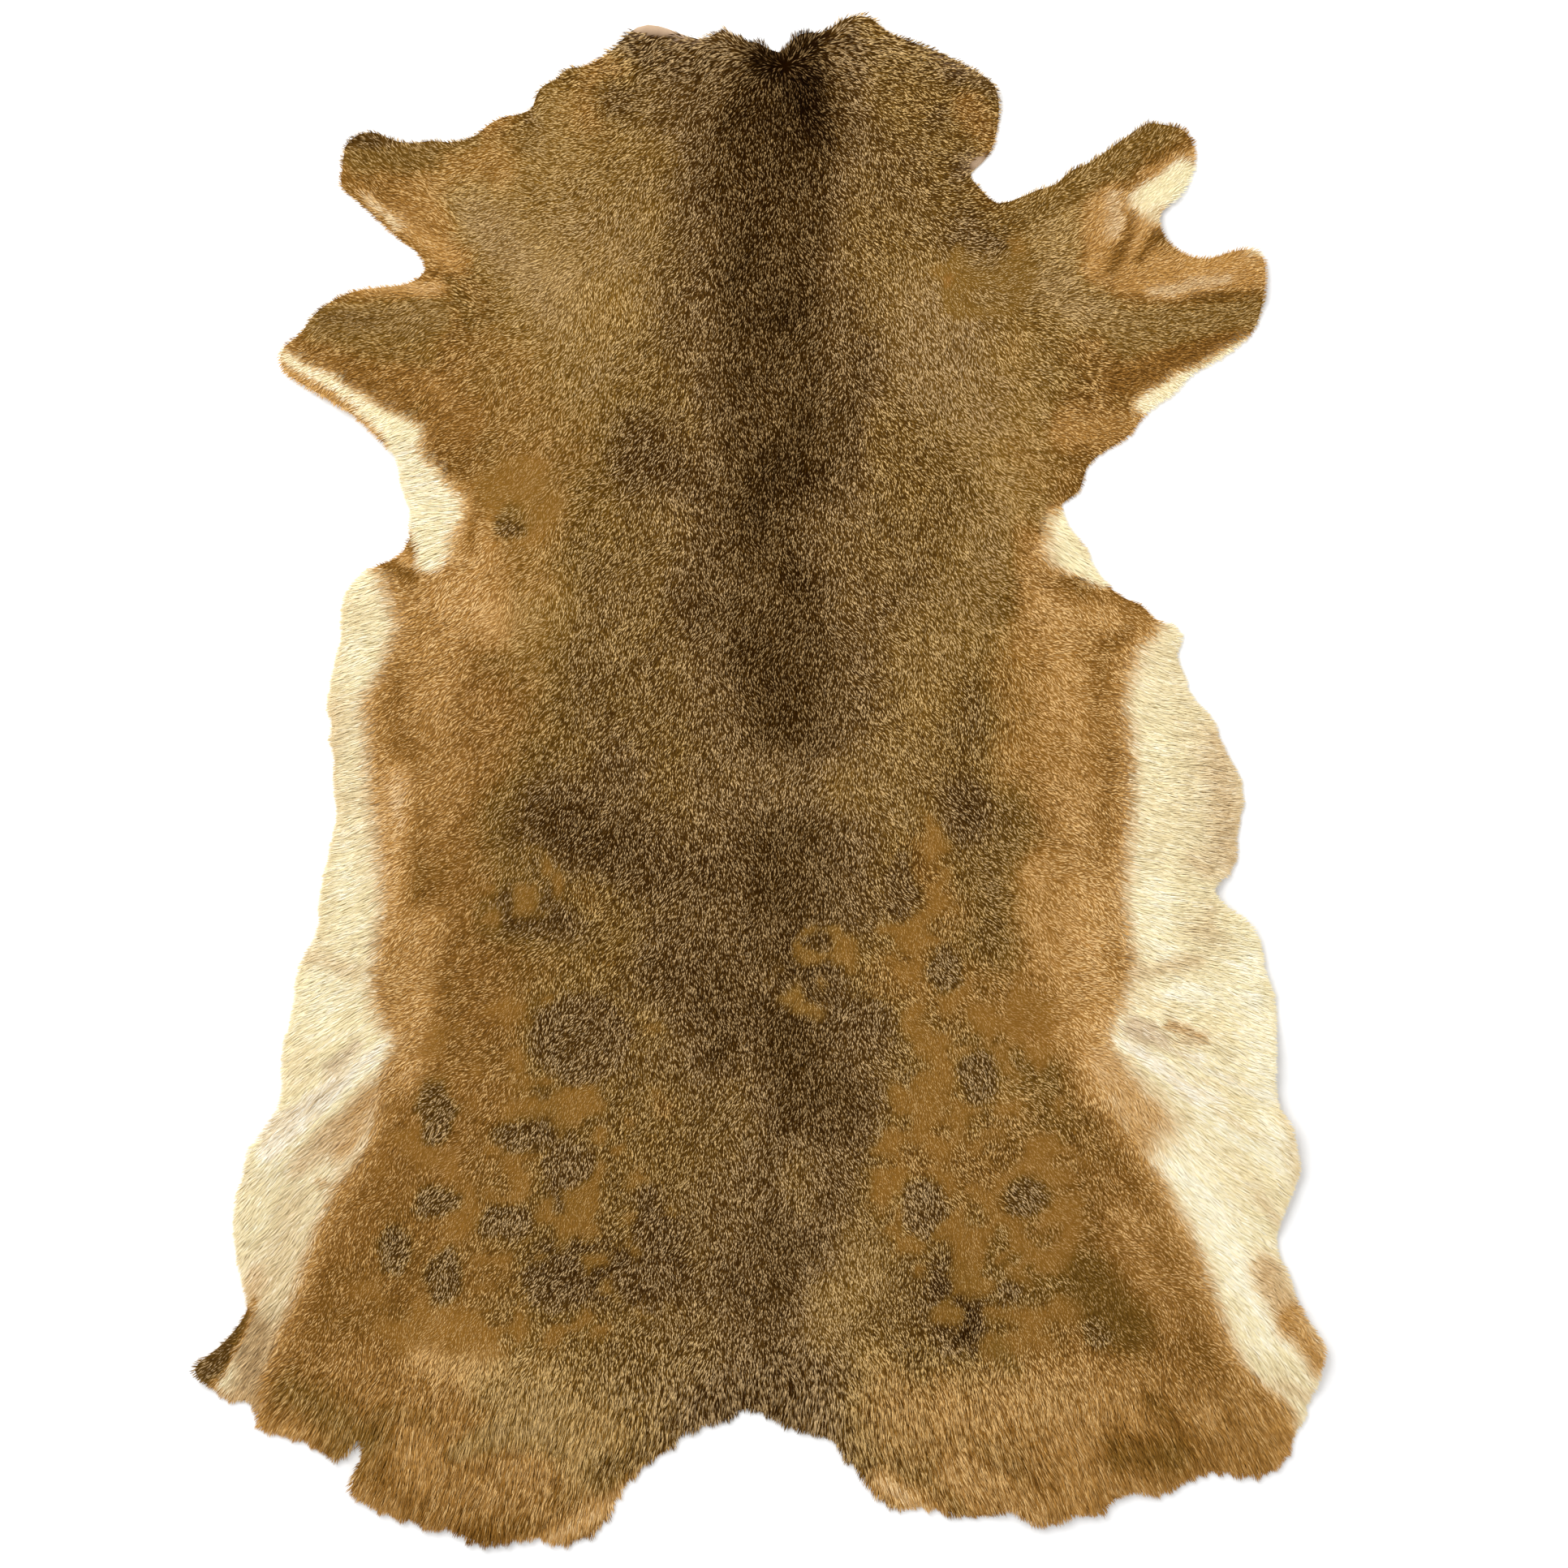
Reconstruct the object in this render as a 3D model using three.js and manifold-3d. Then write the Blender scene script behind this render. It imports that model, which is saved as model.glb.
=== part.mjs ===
// A deerhide rug: one tanned skin with the hair left on, lying on a floor with the hair side up.
// Millimetres, +Z up. X runs across the animal and +Y towards its neck.
// The origin is on the floor, under the middle of the hide.

import * as THREE from "three";
import { mergeVertices } from "three/addons/utils/BufferGeometryUtils.js";
import Module from "manifold-3d";

// Driving dimensions.
const LENGTH = 1230; // neck to the hair tips of the rump
const WIDTH = 911; // hind leg to hind leg
const SKIN = 1.6; // tanned leather
const BACK_HAIR = 6.5; // depth of the lying coat on the back
const BELLY_HAIR = 8; // the coat is longer and softer on the belly
const RIM_HAIR = 1.8; // depth left at the cut edge, where the coat thins out
const RIM_TAPER = 26; // width of the band in which it thins out
const HALF_BACK = 230; // from the spine to where the belly's coat starts
const BELLY_BLEND = 90; // width of the change from one coat to the other
const LUMP = 0.5; // how far the lying coat swells and sinks
const LUMP_SPREAD = 40; // how broad these swells are

// Steps of the mesh.
const COLUMNS = 37; // across the hide
const ROWS = 54; // along it
const SPREAD = 0.35; // how much wider the columns stand on the back than at the flanks
const EDGE_STEP = 13; // along a plain edge
const LOCK_PITCH = 10; // along a hairy edge, one lock of hair to each

// The cut edge, clockwise from the left of the neck, in named stretches.
// lock: how far the longest locks of hair stand past it. Columns of run: x, y.
const EDGE = [
  {
    name: "neck, left of the nape",
    lock: 4,
    run: [[-181, 537], [-179, 549], [-171, 560], [-160, 563], [-156, 573], [-140, 574], [-118, 585], [-98, 605]],
  },
  {
    name: "bare skin left of the nape",
    lock: 0,
    run: [[-84, 609], [-43, 596]],
  },
  {
    name: "nape",
    lock: 5,
    run: [[-27, 603], [-5, 593], [2, 595], [12, 585], [20, 585], [27, 595]],
  },
  {
    name: "neck, right of the nape",
    lock: 4,
    run: [[39, 603], [51, 600], [71, 613], [88, 614.5]],
  },
  {
    name: "rolled edge of the neck",
    lock: 0,
    run: [[104, 602.5], [152, 583], [176, 570], [191, 561]],
  },
  {
    name: "right cheek of the neck",
    lock: 0,
    run: [[195.5, 536], [187, 501], [178, 491], [169, 487], [180, 477], [190, 464.5]],
  },
  {
    name: "right fore leg, upper lobe",
    lock: 3,
    run: [[221, 475], [239, 480], [248, 490], [262, 495.5], [297, 520], [313, 531], [322, 528], [339, 526], [351, 508]],
  },
  {
    name: "right fore leg, between the lobes",
    lock: 0,
    run: [[347, 482], [335, 464], [323, 456], [327, 435], [357, 420]],
  },
  {
    name: "right fore leg, lower lobe",
    lock: 0,
    run: [[378, 426.5], [401, 428.5], [407.5, 418], [406, 385], [400, 363], [382, 345], [347, 324], [335, 311]],
  },
  {
    name: "right armpit",
    lock: 0,
    run: [[310, 293], [301, 278], [270, 257], [261.5, 246], [264, 239], [259, 230], [243, 221]],
  },
  {
    name: "right belly, upper",
    lock: 0,
    run: [
      [253, 199], [264, 187], [270, 171], [291, 150], [311, 142], [319, 130], [335, 126], [341, 117],
      [335.5, 101], [342, 85], [347, 68],
    ],
  },
  {
    name: "right belly, lower",
    lock: 0,
    run: [
      [368, 46], [370, 34], [388.5, -3], [388.5, -20], [383.5, -45], [384.5, -60], [378, -76.5], [366, -81],
      [365, -90], [399, -120], [407, -156], [414, -175], [414.5, -232], [416, -259],
    ],
  },
  {
    name: "right flank of the hind leg",
    lock: 0,
    run: [[429, -280], [430, -295], [435, -308], [416, -360], [417, -380], [426, -397], [433, -418], [455.5, -458]],
  },
  {
    name: "right hind leg",
    lock: 3,
    run: [[447, -481], [432, -522], [416, -553]],
  },
  {
    name: "right haunch",
    lock: 7,
    run: [
      [402, -557], [358, -555], [329, -569], [310, -572], [298, -570], [284, -576], [276, -586], [248, -589],
      [221, -597], [200, -580],
    ],
  },
  {
    name: "right of the tail",
    lock: 6,
    run: [[191, -588], [162, -590], [136, -582], [121, -585], [102, -579], [81, -554], [56, -527], [38, -523], [8, -509]],
  },
  {
    name: "left of the tail",
    lock: 6,
    run: [
      [-12, -503], [-22, -511], [-60, -523], [-68, -534], [-87, -546], [-108, -567], [-120, -590], [-136, -606],
      [-154, -612],
    ],
  },
  {
    name: "left haunch",
    lock: 7,
    run: [
      [-172, -607], [-206, -609], [-220, -612], [-235, -606], [-247, -597], [-261, -600], [-272, -595],
      [-303, -585], [-322, -572],
    ],
  },
  {
    name: "slit in the left haunch",
    lock: 0,
    run: [[-326, -562], [-315, -534], [-318.5, -527], [-332, -546]],
  },
  {
    name: "left hind leg",
    lock: 5,
    run: [[-341, -547], [-351, -536], [-380, -524], [-396, -523], [-401, -512], [-401, -499], [-420, -498], [-446, -480]],
  },
  {
    name: "curled edge of the left hind leg",
    lock: 0,
    run: [[-455.5, -473], [-428, -449], [-408, -419]],
  },
  {
    name: "left flank of the hind leg",
    lock: 0,
    run: [[-417, -389], [-418, -332], [-410, -311], [-407.5, -297], [-381, -256]],
  },
  {
    name: "left belly",
    lock: 0,
    run: [
      [-381, -214], [-374, -193], [-368, -151], [-351, -118], [-351.5, -98], [-337.5, -22], [-340.5, 0],
      [-339.5, 20], [-343.5, 33], [-341, 46], [-345, 55], [-338, 99],
    ],
  },
  {
    name: "left armpit",
    lock: 0,
    run: [
      [-334, 113], [-331, 151], [-305, 175], [-288, 181], [-280, 195], [-280, 220], [-287, 240], [-290, 261],
    ],
  },
  {
    name: "rolled edge of the left fore leg",
    lock: 0,
    run: [[-304, 273], [-323, 291], [-380, 327], [-386, 339]],
  },
  {
    name: "left fore leg, lower lobe",
    lock: 0,
    run: [[-381, 350], [-367, 360], [-358, 375], [-328, 394], [-277, 402], [-266, 410], [-270, 420], [-286, 432]],
  },
  {
    name: "left fore leg, upper lobe",
    lock: 0,
    run: [[-320, 463], [-337.5, 478], [-334, 492]],
  },
  {
    name: "ragged top of the left fore leg",
    lock: 4,
    run: [[-331.5, 510], [-312, 522], [-282, 512], [-262, 515], [-246, 513], [-222, 521], [-214, 530], [-198, 535]],
  },
];

// Folds where the skin stands off the floor, each along a straight crest.
// Columns: x0, y0 to x1, y1 is the crest, rise0 and rise1 are its heights there, width is crest to foot.
const FOLDS = [
  { name: "right groin, upper buckle", x0: 290, y0: -188, x1: 414, y1: -222, rise0: 3, rise1: 13, width: 30 },
  { name: "right groin, lower buckle", x0: 286, y0: -204, x1: 424, y1: -286, rise0: 4, rise1: 17, width: 36 },
  { name: "left groin, upper buckle", x0: -290, y0: -202, x1: -380, y1: -244, rise0: 3, rise1: 12, width: 28 },
  { name: "left groin, lower buckle", x0: -290, y0: -214, x1: -404, y1: -304, rise0: 4, rise1: 15, width: 36 },
  { name: "right belly, long wave", x0: 350, y0: 20, x1: 345, y1: -50, rise0: 5, rise1: 8, width: 34 },
  { name: "right belly, wave at the notch", x0: 318, y0: -84, x1: 386, y1: -112, rise0: 2, rise1: 10, width: 30 },
  { name: "right belly, wave under the notch", x0: 330, y0: -140, x1: 408, y1: -160, rise0: 1, rise1: 7, width: 28 },
  { name: "right flank, wave", x0: 372, y0: -318, x1: 432, y1: -340, rise0: 2, rise1: 10, width: 32 },
  { name: "right hind leg, lift", x0: 398, y0: -392, x1: 452, y1: -468, rise0: 4, rise1: 9, width: 36 },
  { name: "left belly, wave", x0: -312, y0: -118, x1: -366, y1: -144, rise0: 2, rise1: 9, width: 32 },
  { name: "left belly, upper wave", x0: -318, y0: 46, x1: -345, y1: 30, rise0: 2, rise1: 7, width: 28 },
  { name: "left belly, shoulder wave", x0: -300, y0: 140, x1: -336, y1: 122, rise0: 2, rise1: 6, width: 30 },
  { name: "left flank, wave", x0: -370, y0: -340, x1: -420, y1: -352, rise0: 1, rise1: 7, width: 34 },
  { name: "left hind leg, curl", x0: -402, y0: -416, x1: -450, y1: -470, rise0: 9, rise1: 12, width: 24 },
  { name: "left fore leg, rolled edge", x0: -374, y0: 334, x1: -290, y1: 270, rise0: 6, rise1: 10, width: 26 },
  { name: "left armpit, crease", x0: -246, y0: 398, x1: -236, y1: 348, rise0: 4, rise1: 3, width: 24 },
  { name: "right fore leg, outer pucker", x0: 330, y0: 452, x1: 284, y1: 402, rise0: 9, rise1: 4, width: 24 },
  { name: "right fore leg, inner pucker", x0: 276, y0: 486, x1: 258, y1: 400, rise0: 5, rise1: 5, width: 24 },
  { name: "right fore leg, ridge", x0: 290, y0: 388, x1: 398, y1: 404, rise0: 3, rise1: 8, width: 30 },
  { name: "fold of the neck, left", x0: -180, y0: 548, x1: -146, y1: 490, rise0: 8, rise1: 3, width: 28 },
  { name: "fold of the neck, right", x0: 174, y0: 436, x1: 232, y1: 482, rise0: 3, rise1: 7, width: 26 },
  { name: "left fore leg, turned top", x0: -322, y0: 508, x1: -262, y1: 506, rise0: 6, rise1: 3, width: 24 },
  { name: "neck, lifted left edge", x0: -112, y0: 590, x1: -46, y1: 590, rise0: 8, rise1: 6, width: 28 },
  { name: "neck, lifted right edge", x0: 62, y0: 602, x1: 184, y1: 560, rise0: 8, rise1: 8, width: 30 },
  { name: "left haunch, lift", x0: -316, y0: -548, x1: -196, y1: -600, rise0: 7, rise1: 3, width: 34 },
  { name: "right haunch, lift", x0: 214, y0: -584, x1: 300, y1: -562, rise0: 5, rise1: 3, width: 32 },
];

const smooth = (t) => {
  const c = Math.min(1, Math.max(0, t));
  return c * c * (3 - 2 * c);
};

// A repeatable number from 0 to 1 for each whole number.
const chance = (n) => {
  const s = Math.sin(n * 12.9898) * 43758.5453;
  return s - Math.floor(s);
};

// Distance from a point to the line from a to b, with the share of the way along it.
function toLine(x, y, a, b) {
  const [dx, dy] = [b[0] - a[0], b[1] - a[1]];
  const along = ((x - a[0]) * dx + (y - a[1]) * dy) / (dx * dx + dy * dy || 1);
  const t = Math.min(1, Math.max(0, along));
  return { far: Math.hypot(x - a[0] - t * dx, y - a[1] - t * dy), t };
}

// The edge as a closed row of points: a smooth curve through all the stretches, stepped finely where
// locks of hair stand out and coarsely elsewhere. Every second point of a hairy stretch is a lock's tip.
function edgePoints() {
  const knots = EDGE.flatMap(({ lock, run }) => run.map(([x, y]) => ({ x, y, lock })));
  const curve = new THREE.CatmullRomCurve3(
    knots.map(({ x, y }) => new THREE.Vector3(x, y, 0)),
    true,
    "centripetal",
  );
  const points = [];
  knots.forEach(({ x, y, lock }, i) => {
    const next = knots[(i + 1) % knots.length];
    const long = Math.hypot(next.x - x, next.y - y);
    const pitch = lock > 0 ? LOCK_PITCH / 2 : EDGE_STEP;
    const steps = Math.max(1, Math.round(long / pitch));
    for (let k = 0; k < steps; k++) {
      const t = (i + k / steps) / knots.length;
      const at = curve.getPoint(t);
      const along = curve.getTangent(t);
      const isTip = points.length % 2 === 0;
      const out = isTip ? (lock * (1 + chance(points.length))) / 2 : 0;
      points.push([at.x - along.y * out, at.y + along.x * out]);
    }
  });
  return points;
}

// Stretches the edge to the driving length and width, with its box centred on the origin.
function fitToSize(points) {
  const box = new THREE.Box2().setFromPoints(points.map(([x, y]) => new THREE.Vector2(x, y)));
  const middle = box.getCenter(new THREE.Vector2());
  const size = box.getSize(new THREE.Vector2());
  return points.map(([x, y]) => [((x - middle.x) * WIDTH) / size.x, ((y - middle.y) * LENGTH) / size.y]);
}

const edge = fitToSize(edgePoints());

const toEdge = (x, y) =>
  edge.reduce((near, a, i) => Math.min(near, toLine(x, y, a, edge[(i + 1) % edge.length]).far), Infinity);

// Height of the skin's underside over the floor: 0, but for the folds, where the highest one counts.
function lift(x, y) {
  return FOLDS.reduce((high, { x0, y0, x1, y1, rise0, rise1, width }) => {
    const { far, t } = toLine(x, y, [x0, y0], [x1, y1]);
    return Math.max(high, (rise0 + (rise1 - rise0) * t) * smooth(1 - far / width));
  }, 0);
}

// Depth of skin and coat together: deeper on the belly, thin at the rim and slightly lumpy.
function depth(x, y) {
  const belly = smooth((Math.abs(x) - HALF_BACK) / BELLY_BLEND);
  const hair = BACK_HAIR + (BELLY_HAIR - BACK_HAIR) * belly;
  const lumps = LUMP * Math.sin((x + y / 2) / LUMP_SPREAD) * Math.cos((y - x / 2) / LUMP_SPREAD);
  return SKIN + RIM_HAIR + (hair + lumps - RIM_HAIR) * smooth(toEdge(x, y) / RIM_TAPER);
}

// A closed geometry as a solid that can be cut.
function solidOf(wasm, geometry) {
  geometry.deleteAttribute("normal");
  geometry.deleteAttribute("uv");
  const merged = mergeVertices(geometry);
  return new wasm.Manifold(
    new wasm.Mesh({
      numProp: 3,
      vertProperties: new Float32Array(merged.attributes.position.array),
      triVerts: new Uint32Array(merged.index.array),
    }),
  );
}

// A cut solid as a geometry again.
function geometryOf(solid) {
  const { vertProperties, triVerts } = solid.getMesh();
  const geometry = new THREE.BufferGeometry();
  geometry.setAttribute("position", new THREE.BufferAttribute(vertProperties, 3));
  geometry.setIndex(new THREE.BufferAttribute(triVerts, 1));
  geometry.computeVertexNormals();
  return geometry;
}

// A block a little larger than the hide, whose lower face follows lift and whose upper face is depth
// above it. Its columns stand closer at the flanks, where the folds are.
function coatBlock() {
  const spare = 10;
  const block = new THREE.BoxGeometry(2, LENGTH + 2 * spare, 1, COLUMNS, ROWS, 1);
  const place = block.attributes.position;
  for (let i = 0; i < place.count; i++) {
    const across = place.getX(i) + (SPREAD * Math.sin(Math.PI * place.getX(i))) / Math.PI;
    const x = (WIDTH / 2 + spare) * across;
    const y = place.getY(i);
    const isTop = place.getZ(i) > 0;
    place.setXYZ(i, x, y, lift(x, y) + (isTop ? depth(x, y) : 0));
  }
  return block;
}

// The cut edge as a straight-sided cutter, taller than the block.
function edgeCutter() {
  const tall = 100;
  const shape = new THREE.Shape(edge.map(([x, y]) => new THREE.Vector2(x, y)));
  return new THREE.ExtrudeGeometry(shape, { depth: tall, bevelEnabled: false }).translate(0, 0, -tall / 2);
}

const wasm = await Module();
wasm.setup();

const hide = new THREE.Mesh(
  geometryOf(solidOf(wasm, coatBlock()).intersect(solidOf(wasm, edgeCutter()))),
  new THREE.MeshStandardMaterial({ color: 0x7a5a34, roughness: 0.9, metalness: 0 }),
);
hide.name = "hide";

const rug = new THREE.Group();
rug.add(hide);

export default rug;
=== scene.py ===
"""A deerhide rug: one tanned deer skin with its hair left on, lying hair side up on a pale floor.

The skin is a thin sheet on the folds of the hide's solid. The coat is short lying hair in bands from neck to
rump, and each hair takes its colour from a palette of nine hair colours. Tables are in millimetres, in the
hide's own frame: +Y is the neck, +X the right as seen from above.
"""

import functools

import bpy
import numpy as np
from bpy.props import FloatProperty, FloatVectorProperty, IntProperty, PointerProperty
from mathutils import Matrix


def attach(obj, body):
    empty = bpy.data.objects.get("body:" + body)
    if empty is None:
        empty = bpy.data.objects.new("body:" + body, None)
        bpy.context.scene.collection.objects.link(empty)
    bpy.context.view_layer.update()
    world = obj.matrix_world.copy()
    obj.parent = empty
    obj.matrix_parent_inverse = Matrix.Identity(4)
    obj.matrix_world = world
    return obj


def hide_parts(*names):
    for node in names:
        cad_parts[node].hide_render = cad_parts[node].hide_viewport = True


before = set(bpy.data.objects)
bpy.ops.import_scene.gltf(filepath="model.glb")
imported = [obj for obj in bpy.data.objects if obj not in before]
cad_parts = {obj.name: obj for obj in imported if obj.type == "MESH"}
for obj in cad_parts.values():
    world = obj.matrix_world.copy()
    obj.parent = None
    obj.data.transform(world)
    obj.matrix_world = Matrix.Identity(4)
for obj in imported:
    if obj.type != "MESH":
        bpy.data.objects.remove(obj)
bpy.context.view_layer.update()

bl_info = {
    "name": "Deerhide rug",
    "version": (1, 0, 0),
    "blender": (4, 5, 0),
    "location": "3D View > Sidebar > Deerhide",
    "description": "A tanned deer skin with its hair left on",
    "category": "Add Mesh",
}

MM = 0.001
NODE = "hide"
BODY = "root"
SKIN_NAME = "hide_skin"
PALETTE_MAP = "OFBake"
UNDERCOAT = "undercoat"

# The hair colours by their number, from the darkest place of the hide to the palest, then the rosy grey of
# the groins' painted shade, whose pale tip is their painted sheen. Numbers between two of them are mixed.
HAIRS = ("nape", "dorsal", "grizzle", "back", "flank", "tan", "beige", "cream", "rose")
COLOURS = len(HAIRS)
CREAM = HAIRS.index("cream")

# How much of a hair's colour is left in its shade, as a multiple of the shade setting, at these colour
# numbers.
SHADE_AT = (0, 4, 5, 7)
SHADE_DEPTH = (1.0, 1.4, 2.2, 3.3)
# The share of red, green and blue that the darkest colour keeps in its shade. Paler ones keep more.
SHADE_TINT = np.array([1.0, 0.66, 0.35])

# Bands of the coat from the neck to the rump. Each reaches down to its own lowest y.
BANDS = (
    ("coat_neck", 390),
    ("coat_shoulders", 180),
    ("coat_ribs", -10),
    ("coat_loin", -190),
    ("coat_haunches", -374),
    ("coat_rump", -700),
)

# The spine, where the back is darkest. Columns: y, x, half width of the dark stripe.
SPINE = (
    (600, 18, 46),
    (500, 12, 40),
    (300, 15, 30),
    (100, 19, 36),
    (-100, 30, 34),
    (-285, 34, 30),
    (-400, 20, 30),
    (-500, 2, 34),
)

# Where brown gives way to cream along the belly. Columns: y, x at the left, x at the right.
BELLY = (
    (170, -306, 345),
    (125, -290, 326),
    (104, -297, 303),
    (60, -318, 297),
    (20, -312, 302),
    (-40, -305, 299),
    (-100, -303, 295),
    (-150, -310, 301),
    (-180, -307, 294),
    (-200, -297, 285),
    (-215, -295, 284),
    (-235, -306, 285),
    (-250, -309, 288),
    (-270, -311, 296),
    (-290, -318, 311),
    (-310, -330, 327),
    (-330, -343, 335),
    (-350, -355, 347),
    (-380, -367, 358),
    (-420, -379, 372),
    (-460, -396, 389),
    (-500, -414, 432),
)

# The ground colour from the spine outwards, where distances are in half widths of the dark stripe, and the
# flanks' colour that it turns to, with the distance where that starts and how much further it takes.
GROUND_AT = (0, 1.0, 2.2, 4.2)
GROUND_HUE = (1.2, 1.7, 2.5, 2.9)
FLANK_HUE = 4.0
FLANK_START = 170
FLANK_FADE = 110

# How ticked the hair is, from the spine outwards.
TICK_AT = (0, 150, 290)
TICK = (1.0, 0.95, 0.45)

# The belly's pale hair, and the colour of the line where it meets the brown.
PALE_HUE = 6.75
PALE_TONE = 0.5
PALE_TICK = 0.2
BORDER_HUE = 4.9

# Pitch of a hair over the skin in degrees, at its root and past its bend.
ROOT_PITCH = 25
TIP_PITCH = 5

# How far hair stands past the hide's edge, how much that differs from tuft to tuft, and how much more it
# differs at the rump and the neck.
EDGE_MARGIN = 0.5
TUFT_REACH = 1.2
LOCK_REACH = 1.6

# Tone of a ticked hair at its band, its tip and its root against the coat's own: an even part and a part
# that chance decides, or at the root one that goes with how ticked it is.
BAND_EVEN, BAND_CHANCE = 0.2, 1.04
TIP_EVEN, TIP_CHANCE = -0.1, 0.4
ROOT_EVEN, ROOT_TICKED = -0.06, -0.5

# How the coat lies. Columns: x, y, heading in degrees, counted from +X, so -90 points to the tail.
FLOW = (
    (18, 590, 95),
    (18, 545, -90),
    (-60, 560, 215),
    (-130, 560, 190),
    (-170, 540, 180),
    (90, 560, -30),
    (150, 545, -5),
    (180, 500, -5),
    (15, 460, -90),
    (-90, 470, 235),
    (110, 470, -62),
    (-190, 490, 190),
    (-250, 480, 160),
    (-310, 495, 150),
    (-250, 430, 175),
    (220, 455, 20),
    (290, 490, 38),
    (330, 510, 40),
    (300, 430, 62),
    (330, 400, 8),
    (390, 395, 2),
    (360, 350, -18),
    (280, 350, -20),
    (250, 290, -32),
    (-220, 380, 190),
    (-330, 365, 183),
    (-340, 320, 205),
    (-270, 300, 212),
    (-250, 230, 190),
    (15, 340, -90),
    (-110, 340, -108),
    (130, 340, -72),
    (-190, 300, -128),
    (190, 300, -52),
    (15, 200, -90),
    (-120, 180, -112),
    (130, 180, -68),
    (-230, 150, 222),
    (230, 170, -38),
    (-290, 150, 200),
    (280, 150, -22),
    (15, 0, -90),
    (-140, 20, -113),
    (150, 20, -66),
    (-240, 20, 224),
    (250, 20, -34),
    (-325, 20, 194),
    (345, 20, -10),
    (20, -180, -90),
    (-140, -160, -112),
    (150, -160, -64),
    (-250, -150, 222),
    (245, -150, -36),
    (-340, -130, 200),
    (350, -120, -12),
    (-300, -200, 212),
    (-330, -225, 219),
    (-375, -265, 219),
    (-325, -265, 226),
    (-305, -285, 232),
    (-345, -185, 205),
    (-370, -320, 226),
    (292, -195, -26),
    (330, -208, -26),
    (360, -236, -31),
    (405, -285, -31),
    (300, -238, -46),
    (328, -285, -48),
    (300, -300, -60),
    (370, -170, -14),
    (410, -220, -18),
    (370, -320, -36),
    (420, -340, -32),
    (15, -340, -90),
    (-120, -330, -106),
    (130, -330, -74),
    (-250, -330, -122),
    (250, -330, -56),
    (-340, -360, 236),
    (345, -340, -46),
    (-385, -340, 230),
    (395, -320, -40),
    (-400, -440, 230),
    (420, -440, -48),
    (5, -480, -90),
    (-110, -480, -100),
    (110, -480, -76),
    (-230, -500, -105),
    (240, -500, -70),
    (-350, -490, -116),
    (370, -500, -62),
    (-160, -590, -100),
    (160, -580, -66),
    (-260, -580, -104),
    (280, -560, -68),
)

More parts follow.
